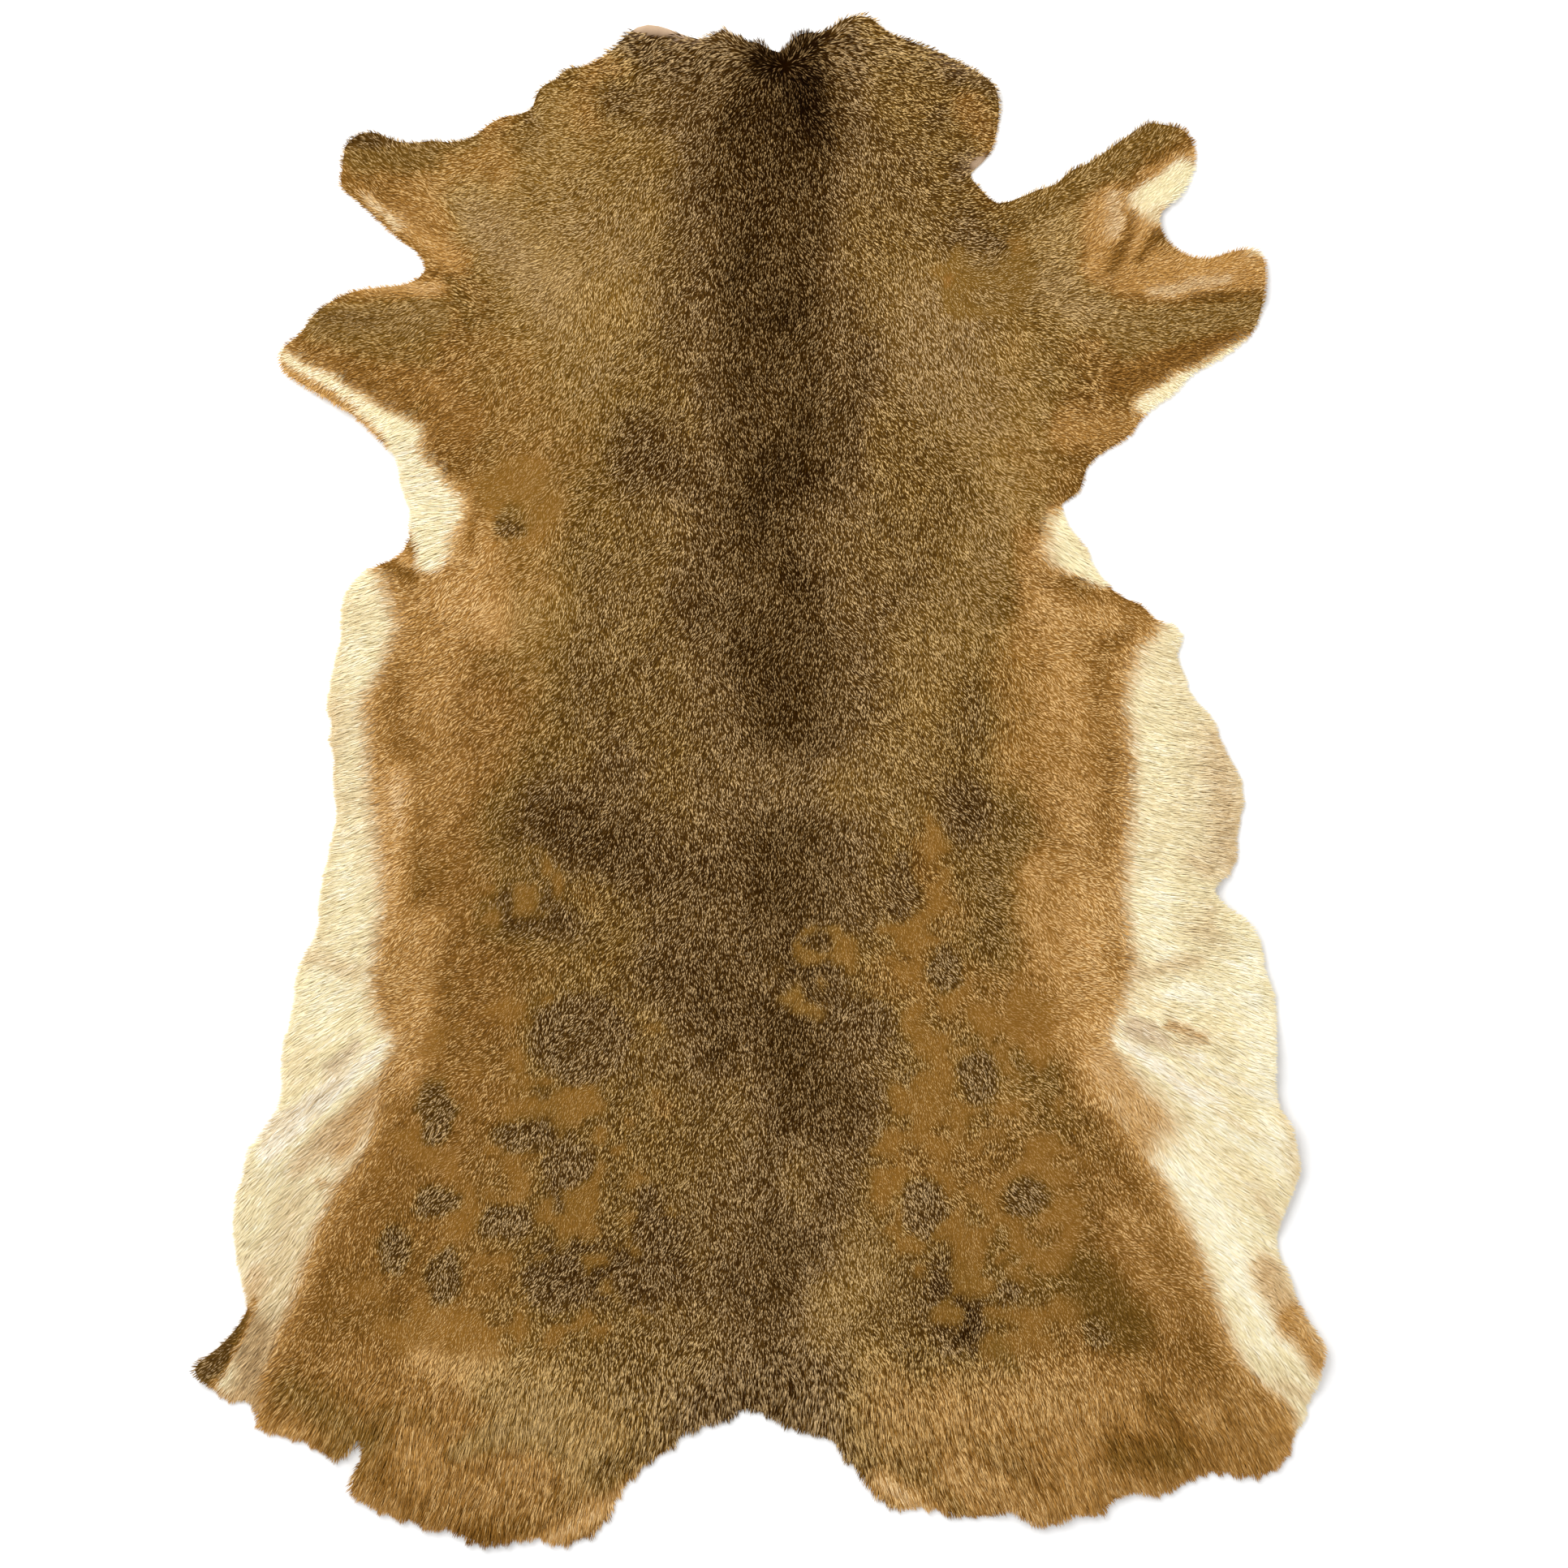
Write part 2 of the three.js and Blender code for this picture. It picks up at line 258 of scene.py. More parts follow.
# The coat's broad light and dark places, painted first. Columns: the line from x0, y0 to x1, y1 that the
# place follows, its half widths r0 and r1 there, soft for the width of its border, colour and tone.
TONES = (
    # neck
    (22, 600, 28, 532, 34, 40, 26, 0.0, 0.3),
    (-10, 560, 0, 548, 8, 10, 18, 1.0, 0.4),
    (2, 528, 6, 480, 28, 30, 28, 0.4, 0.34),
    (-38, 590, -40, 520, 22, 22, 40, 1.8, 0.5),
    (10, 500, 14, 410, 54, 52, 40, 0.85, 0.37),
    (66, 600, 76, 520, 15, 15, 26, 1.6, 0.5),
    (-124, 590, -70, 588, 13, 10, 20, 1.5, 0.42),
    (-124, 566, -150, 500, 20, 22, 26, 3.7, 0.66),
    (-118, 548, -116, 540, 12, 12, 18, 1.9, 0.36),
    (-128, 504, -82, 502, 18, 15, 30, 3.0, 0.74),
    (-180, 534, -172, 514, 2, 3, 9, 1.5, 0.46),
    (-162, 542, -162, 496, 14, 18, 20, 3.2, 0.84),
    (-202, 536, -216, 524, 11, 11, 14, 4.2, 0.56),
    (88, 604, 84, 612, 11, 11, 16, 3.2, 0.5),
    (108, 562, 118, 520, 26, 26, 40, 3.0, 0.52),
    # painted shade under the neck's rolled edge
    (150, 568, 184, 554, 6, 7, 14, 1.7, 0.42),
    (142, 534, 138, 526, 8, 8, 16, 1.9, 0.44),
    (172, 540, 186, 508, 15, 11, 18, 4.4, 0.54),
    (164, 492, 160, 484, 7, 7, 14, 1.8, 0.42),
    (170, 474, 184, 462, 8, 10, 16, 3.6, 0.46),
    (100, 486, 92, 430, 28, 28, 44, 2.7, 0.49),
    # shoulders
    (-170, 466, -104, 448, 42, 34, 54, 2.7, 0.8),
    (-130, 388, -166, 332, 52, 50, 58, 2.8, 0.84),
    (-50, 430, -58, 350, 22, 22, 44, 2.1, 0.5),
    (-230, 466, -166, 400, 28, 30, 44, 2.7, 0.92),
    (-204, 318, -170, 262, 34, 32, 50, 3.4, 0.62),
    (-200, 236, -176, 210, 26, 24, 34, 3.9, 0.66),
    (-234, 208, -200, 140, 26, 32, 30, 4.4, 0.96),
    (-90, 262, -64, 224, 30, 30, 44, 1.45, 0.3),
    (-84, 204, -118, 152, 32, 34, 52, 2.6, 0.6),
    (-50, 152, -40, 176, 17, 17, 32, 1.5, 0.44),
    (165, 436, 172, 424, 20, 18, 30, 1.9, 0.46),
    (130, 392, 160, 362, 28, 28, 40, 2.4, 0.8),
    (140, 338, 194, 292, 40, 44, 54, 2.2, 0.8),
    (58, 402, 58, 344, 16, 16, 36, 2.2, 0.48),
    (204, 256, 198, 184, 26, 24, 40, 2.7, 0.8),
    (240, 436, 248, 384, 26, 22, 34, 2.7, 0.88),
    (252, 292, 288, 278, 18, 14, 32, 4.2, 0.5),
    (284, 340, 292, 314, 12, 10, 26, 3.2, 0.42),
    (214, 340, 224, 206, 20, 16, 30, 3.2, 0.68),
    (246, 242, 242, 234, 9, 9, 20, 3.9, 0.5),
    (214, 192, 222, 150, 15, 18, 28, 4.7, 0.6),
    # spine
    (14, 420, 12, 300, 34, 38, 56, 0.95, 0.45),
    (13, 300, 20, 120, 44, 42, 70, 1.0, 0.47),
    (10, 96, 34, 14, 24, 24, 36, 0.95, 0.42),
    (-40, 146, -44, 130, 10, 10, 24, 1.4, 0.38),
    (2, 150, 0, 130, 12, 12, 24, 1.4, 0.58),
    (44, 230, 42, 170, 22, 20, 28, 0.45, 0.24),
    (10, 236, 12, 214, 16, 16, 28, 0.9, 0.44),
    (74, 250, 84, 340, 12, 12, 26, 1.3, 0.42),
    (8, -62, 12, -92, 20, 18, 34, 1.2, 0.46),
    (30, -24, 34, -32, 8, 8, 18, 1.4, 0.46),
    # ribs and flanks
    (-250, 156, -190, 180, 26, 16, 34, 4.9, 0.64),
    (-262, 132, -256, 62, 30, 28, 44, 4.7, 0.54),
    (-291, 98, -292, 78, 5, 5, 12, 3.4, 0.42),
    (-214, 62, -230, 0, 22, 22, 40, 4.1, 0.5),
    (-290, 0, -296, -110, 12, 14, 18, 5.3, 0.7),
    (-246, 22, -250, -42, 18, 18, 36, 4.3, 0.51),
    (-270, -120, -278, -224, 19, 18, 28, 5.0, 0.63),
    (-228, -150, -232, -202, 17, 17, 34, 4.0, 0.48),
    (-182, 184, -164, 98, 26, 26, 40, 3.4, 0.8),
    (-140, 92, -128, 52, 26, 26, 46, 2.3, 0.49),
    (62, 204, 108, 120, 34, 34, 56, 2.3, 0.51),
    (120, 16, 134, 116, 26, 26, 44, 2.8, 0.68),
    (186, 196, 158, 116, 22, 24, 36, 2.7, 0.7),
    (172, 72, 176, 36, 8, 8, 24, 2.2, 0.5),
    (206, 106, 210, 10, 20, 20, 32, 3.6, 0.73),
    (230, 134, 294, 132, 20, 14, 24, 4.7, 0.66),
    (242, 94, 248, 4, 26, 26, 40, 4.5, 0.78),
    (248, -10, 258, -70, 22, 22, 40, 4.5, 0.57),
    (281, 42, 286, -42, 8, 8, 20, 4.0, 0.46),
    (262, -90, 268, -240, 17, 18, 26, 5.0, 0.72),
    (228, -80, 242, -196, 24, 24, 38, 4.4, 0.83),
    # loin
    (-160, -30, -60, -70, 34, 34, 54, 1.35, 0.37),
    (-198, -104, -156, -106, 20, 20, 30, 1.2, 0.4),
    (-112, 14, -104, 8, 18, 18, 34, 1.8, 0.48),
    (-206, -22, -200, -62, 16, 16, 34, 2.8, 0.47),
    (-32, 4, 52, 0, 22, 20, 36, 2.1, 0.56),
    (72, -4, 104, -26, 22, 20, 40, 2.8, 0.66),
    (-68, -140, -10, -200, 30, 30, 46, 1.4, 0.42),
    (-142, -88, -134, -94, 17, 17, 34, 3.4, 0.46),
    (165, -14, 164, -30, 17, 17, 26, 1.3, 0.46),
    (122, -58, 152, -104, 20, 20, 36, 3.8, 0.5),
    (100, -152, 204, -176, 26, 30, 48, 3.9, 0.56),
    (154, -218, 206, -260, 15, 18, 30, 3.6, 0.7),
    (316, -496, 324, -506, 8, 8, 20, 3.3, 0.4),
    (86, -190, 84, -200, 14, 14, 28, 1.6, 0.46),
    (32, -136, 46, -150, 14, 14, 26, 1.2, 0.34),
    (0, -176, -36, -222, 12, 12, 26, 1.3, 0.42),
    (-164, -188, -122, -212, 17, 17, 32, 2.1, 0.52),
    (-198, -222, -160, -262, 13, 14, 26, 2.6, 0.44),
    (-204, -168, -210, -250, 16, 18, 36, 3.8, 0.48),
    # haunches
    (20, -212, 60, -262, 24, 26, 40, 1.2, 0.46),
    (92, -306, 80, -262, 14, 14, 30, 1.4, 0.46),
    (-30, -258, -22, -322, 30, 30, 46, 2.3, 0.52),
    (34, -346, 34, -306, 15, 16, 32, 2.7, 0.6),
    (-10, -396, 8, -474, 26, 26, 42, 1.7, 0.5),
    (84, -384, 52, -436, 25, 22, 38, 2.8, 0.8),
    (92, -462, 114, -502, 16, 18, 32, 3.2, 0.84),
    (-62, -440, -82, -484, 20, 20, 38, 2.5, 0.53),
    (-322, -382, -250, -300, 36, 36, 60, 4.0, 0.47),
    (-166, -266, -164, -276, 15, 15, 24, 1.3, 0.4),
    (-150, -342, -154, -334, 15, 15, 26, 1.4, 0.46),
    (-78, -392, -88, -330, 15, 9, 22, 1.4, 0.4),
    (-166, -390, -84, -390, 20, 22, 30, 1.3, 0.3),
    (-96, -396, -62, -400, 13, 13, 26, 1.6, 0.46),
    (-76, -262, -74, -258, 7, 7, 16, 4.2, 0.44),
    (154, -408, 164, -436, 22, 18, 28, 0.9, 0.24),
    (262, -398, 292, -430, 22, 20, 34, 2.6, 0.3),
    (132, -306, 222, -340, 44, 42, 60, 3.7, 0.53),
    (292, -352, 332, -424, 14, 14, 28, 4.3, 0.52),
    (122, -334, 130, -346, 13, 13, 26, 2.9, 0.72),
    # rump
    (-258, -446, -226, -462, 28, 27, 24, 3.8, 1.0),
    (-122, -462, -112, -500, 12, 12, 26, 2.8, 0.62),
    (-190, -484, -136, -536, 36, 32, 36, 3.0, 0.78),
    (-382, -480, -310, -520, 18, 20, 34, 2.8, 0.52),
    (-342, -520, -326, -546, 9, 12, 20, 3.2, 0.56),
    (-302, -546, -262, -580, 16, 12, 24, 3.7, 0.5),
    (-226, -602, -200, -600, 16, 15, 20, 4.0, 0.3),
    (-202, -562, -176, -556, 20, 20, 36, 4.3, 0.6),
    (-124, -548, -80, -532, 12, 12, 22, 2.4, 0.34),
    (-24, -504, 26, -508, 7, 7, 16, 1.3, 0.46),
    (98, -552, 130, -578, 11, 14, 18, 4.9, 0.62),
    (158, -548, 222, -582, 16, 12, 20, 4.6, 0.66),
    (108, -502, 242, -484, 28, 28, 42, 3.8, 0.75),
    (356, -494, 368, -508, 11, 11, 22, 4.5, 0.6),
    (284, -530, 330, -532, 16, 16, 28, 3.3, 0.35),
    (362, -536, 412, -522, 18, 16, 34, 4.2, 0.49),
)

# The coat's markings, painted after them in this order, and among them painted shade in some creases and
# folds and painted highlight and sheen on some ridges. Columns: name, the line from x0, y0 to x1, y1 that the
# mark follows, its half widths r0 and r1 there, soft for the width of its border, colour, tone from 0 dark to
# 1 light, tick for how ticked the hair is, and weight for how much of the coat it takes over.
MARKS = (
    # left fore leg
    ("brown of the upper lobe", -322, 496, -262, 498, 11, 14, 16, 2.8, 0.5, 0.4, 0.9),
    ("tan of the upper lobe", -262, 470, -214, 488, 14, 24, 28, 3.8, 0.7, 0.4, 0.85),
    ("gold of the upper lobe", -290, 462, -250, 448, 7, 9, 16, 4.5, 0.56, 0.3, 0.8),
    ("dark top", -328, 516, -294, 510, 12, 6, 8, 1.2, 0.48, 0.5, 1.0),
    ("brown top", -288, 508, -224, 513, 5, 6, 8, 2.2, 0.5, 0.5, 0.8),
    ("rust corner", -338, 486, -326, 480, 6, 4, 8, 4.0, 0.42, 0.3, 0.8),
    ("orange under the upper lobe", -286, 446, -240, 416, 5, 12, 16, 4.9, 0.54, 0.25, 0.9),
    ("cream hem of the upper lobe", -316, 470, -284, 442, 3, 4, 7, 6.4, 0.5, 0.15, 0.9),
    ("grey of the shoulder", -226, 462, -198, 420, 18, 22, 30, 2.3, 0.8, 0.55, 0.75),
    ("grey of the lower lobe", -348, 366, -262, 370, 15, 18, 14, 2.6, 0.63, 0.25, 0.95),
    ("dark streak", -348, 376, -306, 366, 5, 4, 8, 2.2, 0.48, 0.3, 0.8),
    ("brown under the grey", -330, 348, -262, 342, 8, 12, 14, 3.0, 0.56, 0.35, 0.8),
    ("pale hem of the lower lobe", -322, 396, -256, 394, 4, 7, 9, 5.4, 0.55, 0.2, 0.9),
    ("golden of the lower lobe", -345, 338, -238, 290, 6, 22, 18, 4.1, 0.46, 0.35, 0.9),
    ("deep gold", -340, 334, -308, 322, 6, 7, 10, 4.0, 0.4, 0.25, 0.85),
    ("pale gold", -256, 316, -246, 306, 8, 8, 16, 4.4, 0.55, 0.3, 0.7),
    ("dark line", -277, 294, -264, 308, 1.5, 1.5, 6, 2.6, 0.42, 0.3, 0.7),
    ("tan hem", -384, 332, -302, 277, 7, 7, 6, 5.0, 0.54, 0.2, 1.0),
    ("cream line", -380, 343, -318, 307, 4, 6, 6, CREAM, 0.54, 0.15, 1.0),
    ("cream band", -316, 304, -276, 274, 6, 12, 7, CREAM, 0.56, 0.15, 1.0),
    # left armpit
    ("cream", -280, 262, -256, 216, 12, 23, 7, 7.2, 0.6, 0.15, 1.0),
    ("foot of the cream", -256, 212, -256, 180, 20, 11, 8, 7.1, 0.56, 0.15, 1.0),
    ("tan fringe", -284, 181, -266, 168, 5, 4, 8, 5.2, 0.56, 0.2, 0.85),
    ("gold beside the cream", -222, 232, -227, 186, 4, 4, 8, 3.8, 0.42, 0.3, 0.8),
    ("fold below", -296, 169, -272, 163, 3, 5, 8, 3.6, 0.42, 0.3, 0.85),
    # painted shade in the crease
    ("crease", -246, 400, -226, 364, 3, 4, 9, 2.4, 0.46, 0.4, 0.7),
    # right fore leg
    ("brown of the upper lobe", 214, 456, 322, 512, 12, 17, 18, 2.9, 0.54, 0.45, 0.9),
    ("dark top", 240, 484, 316, 529, 3, 5, 7, 1.8, 0.5, 0.4, 0.8),
    ("rust of the upper lobe", 308, 495, 350, 508, 4, 4, 9, 3.8, 0.38, 0.3, 0.8),
    ("gold above the cream", 306, 484, 350, 502, 3, 4, 6, 5.0, 0.56, 0.2, 0.9),
    ("inner tan", 268, 456, 268, 402, 9, 12, 12, 4.8, 0.57, 0.25, 1.0),
    ("tan between the lobes", 304, 446, 300, 408, 10, 16, 12, 5.0, 0.6, 0.25, 1.0),
    ("pale of the inner tan", 282, 466, 286, 436, 9, 10, 14, 5.8, 0.56, 0.2, 0.9),
    ("tan across", 290, 406, 398, 410, 18, 17, 9, 4.9, 0.53, 0.25, 1.0),
    ("cream of the upper lobe", 342, 479, 308, 463, 17, 12, 7, CREAM, 0.5, 0.15, 1.0),
    ("cream under it", 300, 462, 322, 442, 6, 5, 8, 6.6, 0.52, 0.15, 0.95),
    ("pale strip", 312, 388, 372, 398, 6, 5, 8, 5.7, 0.54, 0.2, 0.95),
    # the two puckers' marks are painted shade in their creases
    ("pucker's shade", 299, 450, 282, 406, 3.5, 4, 6, 3.9, 0.36, 0.3, 0.95),
    ("second pucker's shade", 320, 438, 302, 418, 4, 4, 6, 3.7, 0.36, 0.3, 0.95),
    ("pale corner", 390, 425, 405, 424, 4, 5, 4, 6.4, 0.5, 0.15, 1.0),
    ("grey of the shoulder", 228, 398, 284, 370, 16, 16, 22, 2.5, 0.74, 0.45, 0.85),
    ("brown of the lower lobe", 296, 358, 398, 372, 18, 11, 10, 2.8, 0.62, 0.3, 0.95),
    ("rust of the lower lobe", 344, 385, 396, 386, 3, 4, 7, 3.4, 0.36, 0.3, 0.8),
    ("gold of the lower lobe", 286, 320, 384, 357, 11, 6, 10, 4.1, 0.33, 0.3, 0.95),
    ("cream hem", 306, 299, 392, 349, 8, 8, 5, 6.8, 0.56, 0.15, 1.0),
    ("dark line by the hem", 284, 306, 306, 292, 2, 2, 6, 3.0, 0.38, 0.3, 0.8),
    ("tan below", 246, 280, 296, 284, 14, 9, 18, 4.5, 0.52, 0.3, 0.8),
    # right armpit and the flank below it
    ("cream", 240, 212, 240, 188, 10, 15, 8, CREAM, 0.5, 0.15, 1.0),
    ("foot of the cream", 244, 184, 276, 160, 14, 6, 8, CREAM, 0.5, 0.15, 1.0),
    ("gold", 222, 180, 248, 164, 4, 4, 10, 4.9, 0.5, 0.3, 0.8),
    # painted highlight along the ridge of a soft fold
    ("painted highlight of the fold", 223, 166, 208, 104, 1.5, 2, 8, 4.9, 0.6, 0.4, 0.7),
    ("shade of the cream", 226, 202, 232, 186, 2, 3, 10, 5.2, 0.5, 0.2, 0.6),
    # left groin: the tan fan, then painted shade along its folds (the rosy shade and the greys) and painted
    # sheen on their ridges (the white sweep)
    ("tan fan", -306, -246, -330, -284, 6, 15, 12, 5.2, 0.6, 0.2, 0.97),
    ("outer fan", -334, -276, -364, -306, 12, 7, 16, 5.7, 0.54, 0.2, 0.8),
    ("pale spot of the fan", -332, -300, -330, -306, 4, 4, 8, 6.0, 0.6, 0.2, 0.8),
    ("brown spot", -346, -316, -338, -318, 3, 3, 6, 4.6, 0.5, 0.3, 0.7),
    ("rosy shade", -312, -206, -334, -226, 6, 8, 12, 7.8, 0.38, 0.25, 0.9),
    ("white sweep of painted sheen", -293, -208, -384, -290, 5, 11, 10, 7.6, 0.82, 0.2, 0.9),
    ("grey", -326, -234, -392, -276, 4, 7, 12, 7.8, 0.6, 0.25, 0.7),
    ("upper grey", -306, -192, -342, -206, 3, 4, 8, 7.7, 0.62, 0.2, 0.6),
    # right groin: the tan fan, then painted shade along its folds (the rosy shade with its brown lines, the
    # grey and its line, the third shade and the rosy lines) and painted sheen on their ridges (the white
    # sweep and its end)
    ("tan fan", 274, -222, 316, -282, 12, 17, 9, 5.2, 0.6, 0.2, 1.0),
    ("end of the fan", 322, -284, 350, -298, 8, 2, 7, 5.3, 0.5, 0.2, 0.95),
    ("pale line of the fan", 284, -214, 336, -272, 3, 4, 6, 6.3, 0.54, 0.2, 0.8),
    ("white sweep of painted sheen", 288, -206, 356, -256, 6, 10, 10, 7.6, 0.78, 0.2, 0.9),
    ("end of the sweep", 352, -262, 396, -290, 9, 10, 14, CREAM, 0.72, 0.2, 0.85),
    ("rosy shade", 294, -194, 332, -208, 9, 10, 10, 7.8, 0.42, 0.25, 0.95),
    ("brown line of the shade", 322, -194, 352, -203, 4, 3, 5, 5.3, 0.4, 0.25, 0.95),
    ("brown of the shade", 330, -206, 344, -208, 5, 3, 7, 5.6, 0.44, 0.25, 0.8),
    ("grey", 340, -218, 404, -250, 5, 8, 9, 7.6, 0.76, 0.25, 0.85),
    ("line of the grey", 350, -222, 404, -246, 2, 2.5, 4, 6.2, 0.28, 0.25, 0.8),
    ("third shade", 352, -255, 408, -290, 2, 3.5, 6, 6.3, 0.44, 0.25, 0.8),
    ("rosy lines", 392, -326, 412, -350, 3, 4, 10, 5.9, 0.46, 0.2, 0.6),
    # belly
    ("right, bright", 312, -96, 320, -140, 14, 10, 26, CREAM, 0.72, 0.15, 0.8),
    ("right, bright hollow", 318, -168, 350, -166, 7, 8, 16, CREAM, 0.8, 0.15, 0.85),
    ("right, bright side", 382, -140, 410, -300, 13, 13, 28, CREAM, 0.76, 0.15, 0.8),
    ("right, rosy band", 302, -151, 346, -140, 4, 5, 10, 6.0, 0.48, 0.2, 0.8),
    # painted shade in the trough of a wave in the belly's edge
    ("right, shade of a wave's trough", 353, -100, 354, -120, 4, 4, 12, 6.0, 0.5, 0.2, 0.6),
    ("right, lower bright", 336, -296, 404, -440, 20, 13, 30, CREAM, 0.77, 0.15, 0.85),
    ("right, beige rim", 412, -250, 432, -320, 6, 10, 20, 6.2, 0.5, 0.2, 0.7),
    ("left, bright", -338, -150, -344, -186, 16, 16, 28, CREAM, 0.7, 0.15, 0.8),
    ("left, middle bright", -322, -50, -324, -112, 5, 8, 14, CREAM, 0.66, 0.15, 0.7),
    ("left, upper bright", -314, 118, -316, 84, 7, 8, 20, CREAM, 0.66, 0.15, 0.7),
    ("left, dull rim", -350, 120, -352, -60, 5, 5, 18, 6.2, 0.46, 0.2, 0.7),
    ("right, upper shade", 362, 30, 374, -64, 15, 18, 32, 5.9, 0.48, 0.25, 0.85),
    ("right, notch", 340, -60, 352, -70, 6, 6, 14, 5.9, 0.46, 0.2, 0.65),
    ("right, spot", 340, -118, 362, -128, 6, 6, 14, 6.2, 0.46, 0.2, 0.6),
    ("left, spot", -330, 60, -338, -10, 7, 6, 16, 6.2, 0.44, 0.2, 0.75),
    ("left, rosy band", -358, -136, -316, -150, 6, 6, 14, 6.0, 0.5, 0.2, 0.7),
    ("left, hind shade", -366, -334, -384, -410, 14, 14, 26, 6.3, 0.44, 0.2, 0.85),
    # hind legs
    ("right, tan of the outer side", 398, -384, 420, -424, 10, 13, 16, 5.5, 0.5, 0.2, 0.9),
    ("right, tan of the tip", 424, -426, 446, -462, 12, 10, 14, 4.95, 0.52, 0.2, 0.95),
    ("right, rose", 412, -478, 440, -488, 7, 6, 14, 5.8, 0.54, 0.2, 0.65),
    ("left, curled edge", -402, -422, -440, -472, 4, 11, 8, 1.5, 0.48, 0.4, 0.95),
    ("left, tip", -446, -480, -420, -496, 7, 7, 12, 3.6, 0.58, 0.4, 0.85),
    ("left, tan spot", -396, -390, -398, -408, 8, 6, 14, 5.6, 0.5, 0.2, 0.8),
    # painted shade in the crease along the curl and on the cream by the curl
    ("left, shade in the crease along the curl", -395, -409, -416, -454, 1.5, 2, 6, 3.2, 0.44, 0.3, 0.75),
    ("left, cream in the curl's shade", -394, -432, -408, -494, 12, 14, 18, 5.7, 0.22, 0.2, 0.95),
    # rump
    ("right, blond locks", 98, -556, 134, -584, 7, 9, 12, 5.4, 0.58, 0.3, 0.85),
    ("right, rosy locks", 146, -594, 196, -602, 6, 6, 12, 5.4, 0.58, 0.3, 0.75),
    ("right, blond sweep", 150, -552, 176, -578, 3, 5, 12, 5.0, 0.58, 0.3, 0.6),
    ("left, blond locks", -112, -570, -176, -606, 9, 9, 14, 5.4, 0.66, 0.3, 0.85),
    ("left, rust edge", -106, -558, -66, -530, 4, 4, 8, 4.2, 0.42, 0.3, 0.85),
    ("middle, rust edge", -50, -517, 16, -508, 3, 3, 8, 3.6, 0.44, 0.4, 0.75),
    ("right, brown edge", 20, -512, 76, -544, 4, 4, 8, 3.3, 0.42, 0.45, 0.75),
    ("right, pale locks", 242, -586, 262, -582, 3, 3, 8, 5.1, 0.58, 0.3, 0.5),
    ("left edge, pale", -396, -496, -412, -484, 5, 5, 10, 5.4, 0.52, 0.3, 0.6),
    # smudges, and smooth or worn places
    ("grey smudge, left", -240, -532, -206, -516, 8, 10, 10, 2.3, 0.74, 0.12, 0.6),
    ("haunch, right, smooth hair", 264, -402, 296, -438, 22, 20, 26, 3.0, 0.4, 0.3, 0.7),
    ("grey smudge, far left", -300, -500, -262, -506, 6, 8, 10, 2.6, 0.62, 0.12, 0.45),
    ("grey smudge, right", 190, -452, 206, -470, 7, 6, 10, 2.4, 0.52, 0.12, 0.5),
    ("shoulder, right, worn place", 172, 398, 196, 396, 28, 26, 14, 2.6, 0.66, 0.5, 0.85),
    ("shoulder, left, orange spot", -204, 244, -192, 238, 7, 7, 12, 4.2, 0.44, 0.2, 0.7),
    ("shoulder, right, orange spot", 150, 404, 152, 400, 3, 3, 5, 4.8, 0.5, 0.15, 0.8),
    ("shoulder, left, worn place", -200, 236, -176, 226, 24, 26, 14, 3.3, 0.62, 0.3, 0.7),
)

# Places that have lost much of their ticked guard hair and show smooth tan-brown. Columns: x, y, half
# width, half height and the share that is smooth.
SMOOTH_PATCHES = (
    (-190, 228, 33, 33, 0.8),
    (180, 404, 38, 38, 0.6),
    (-230, -310, 74, 112, 0.46),
    (-120, -310, 68, 100, 0.42),
    (-170, -210, 96, 40, 0.44),
    (-180, -404, 104, 44, 0.46),
    (-210, -440, 60, 24, 0.7),
    (-140, -310, 24, 70, 0.6),
    (-200, -86, 60, 34, 0.25),
    (-290, -420, 40, 50, 0.35),
    (64, -150, 56, 40, 0.36),
    (128, -110, 30, 82, 0.52),
    (150, -310, 60, 98, 0.66),
    (212, -330, 52, 84, 0.56),
    (176, -196, 66, 54, 0.52),
    (200, -420, 60, 40, 0.5),
)

# Islands of ticked hair left inside them. Same columns.
ISLANDS = (
    (-194, 206, 11, 14),
    (178, 424, 18, 14),
    (-142, -206, 42, 36),
    (-256, -264, 15, 27),
    (-256, -336, 20, 13),
    (-250, -396, 13, 22),
    (-150, -306, 22, 18),
    (-160, -400, 28, 22),
    (-90, -402, 26, 22),
    (-78, -362, 20, 18),
    (-188, -282, 24, 14),
    (-290, -376, 13, 20),
    (-200, -352, 22, 15),
    (131, -340, 18, 24),
    (214, -334, 17, 14),
    (200, -408, 9, 10),
    (270, -440, 13, 12),
    (114, -84, 13, 30),
    (88, -190, 22, 20),
    (150, -150, 14, 18),
    (176, -236, 16, 20),
)

# Hair of the smooth places and of the islands. Columns: colour and how much of it is taken on, tone and how
# much of it, tick.
SMOOTH_HAIR = (3.7, 0.85, 0.6, 0.85, 0.28)
ISLAND_HAIR = (1.9, 0.85, 0.54, 0.7, 1.2)

# Bare skin showing at rolled edges. Columns: x0, y0 to x1, y1, half width.
BARE_EDGES = (
    (-104, 606, -46, 600, 7),
    (104, 606, 190, 564, 4),
    (172, 492, 180, 496, 5),
)

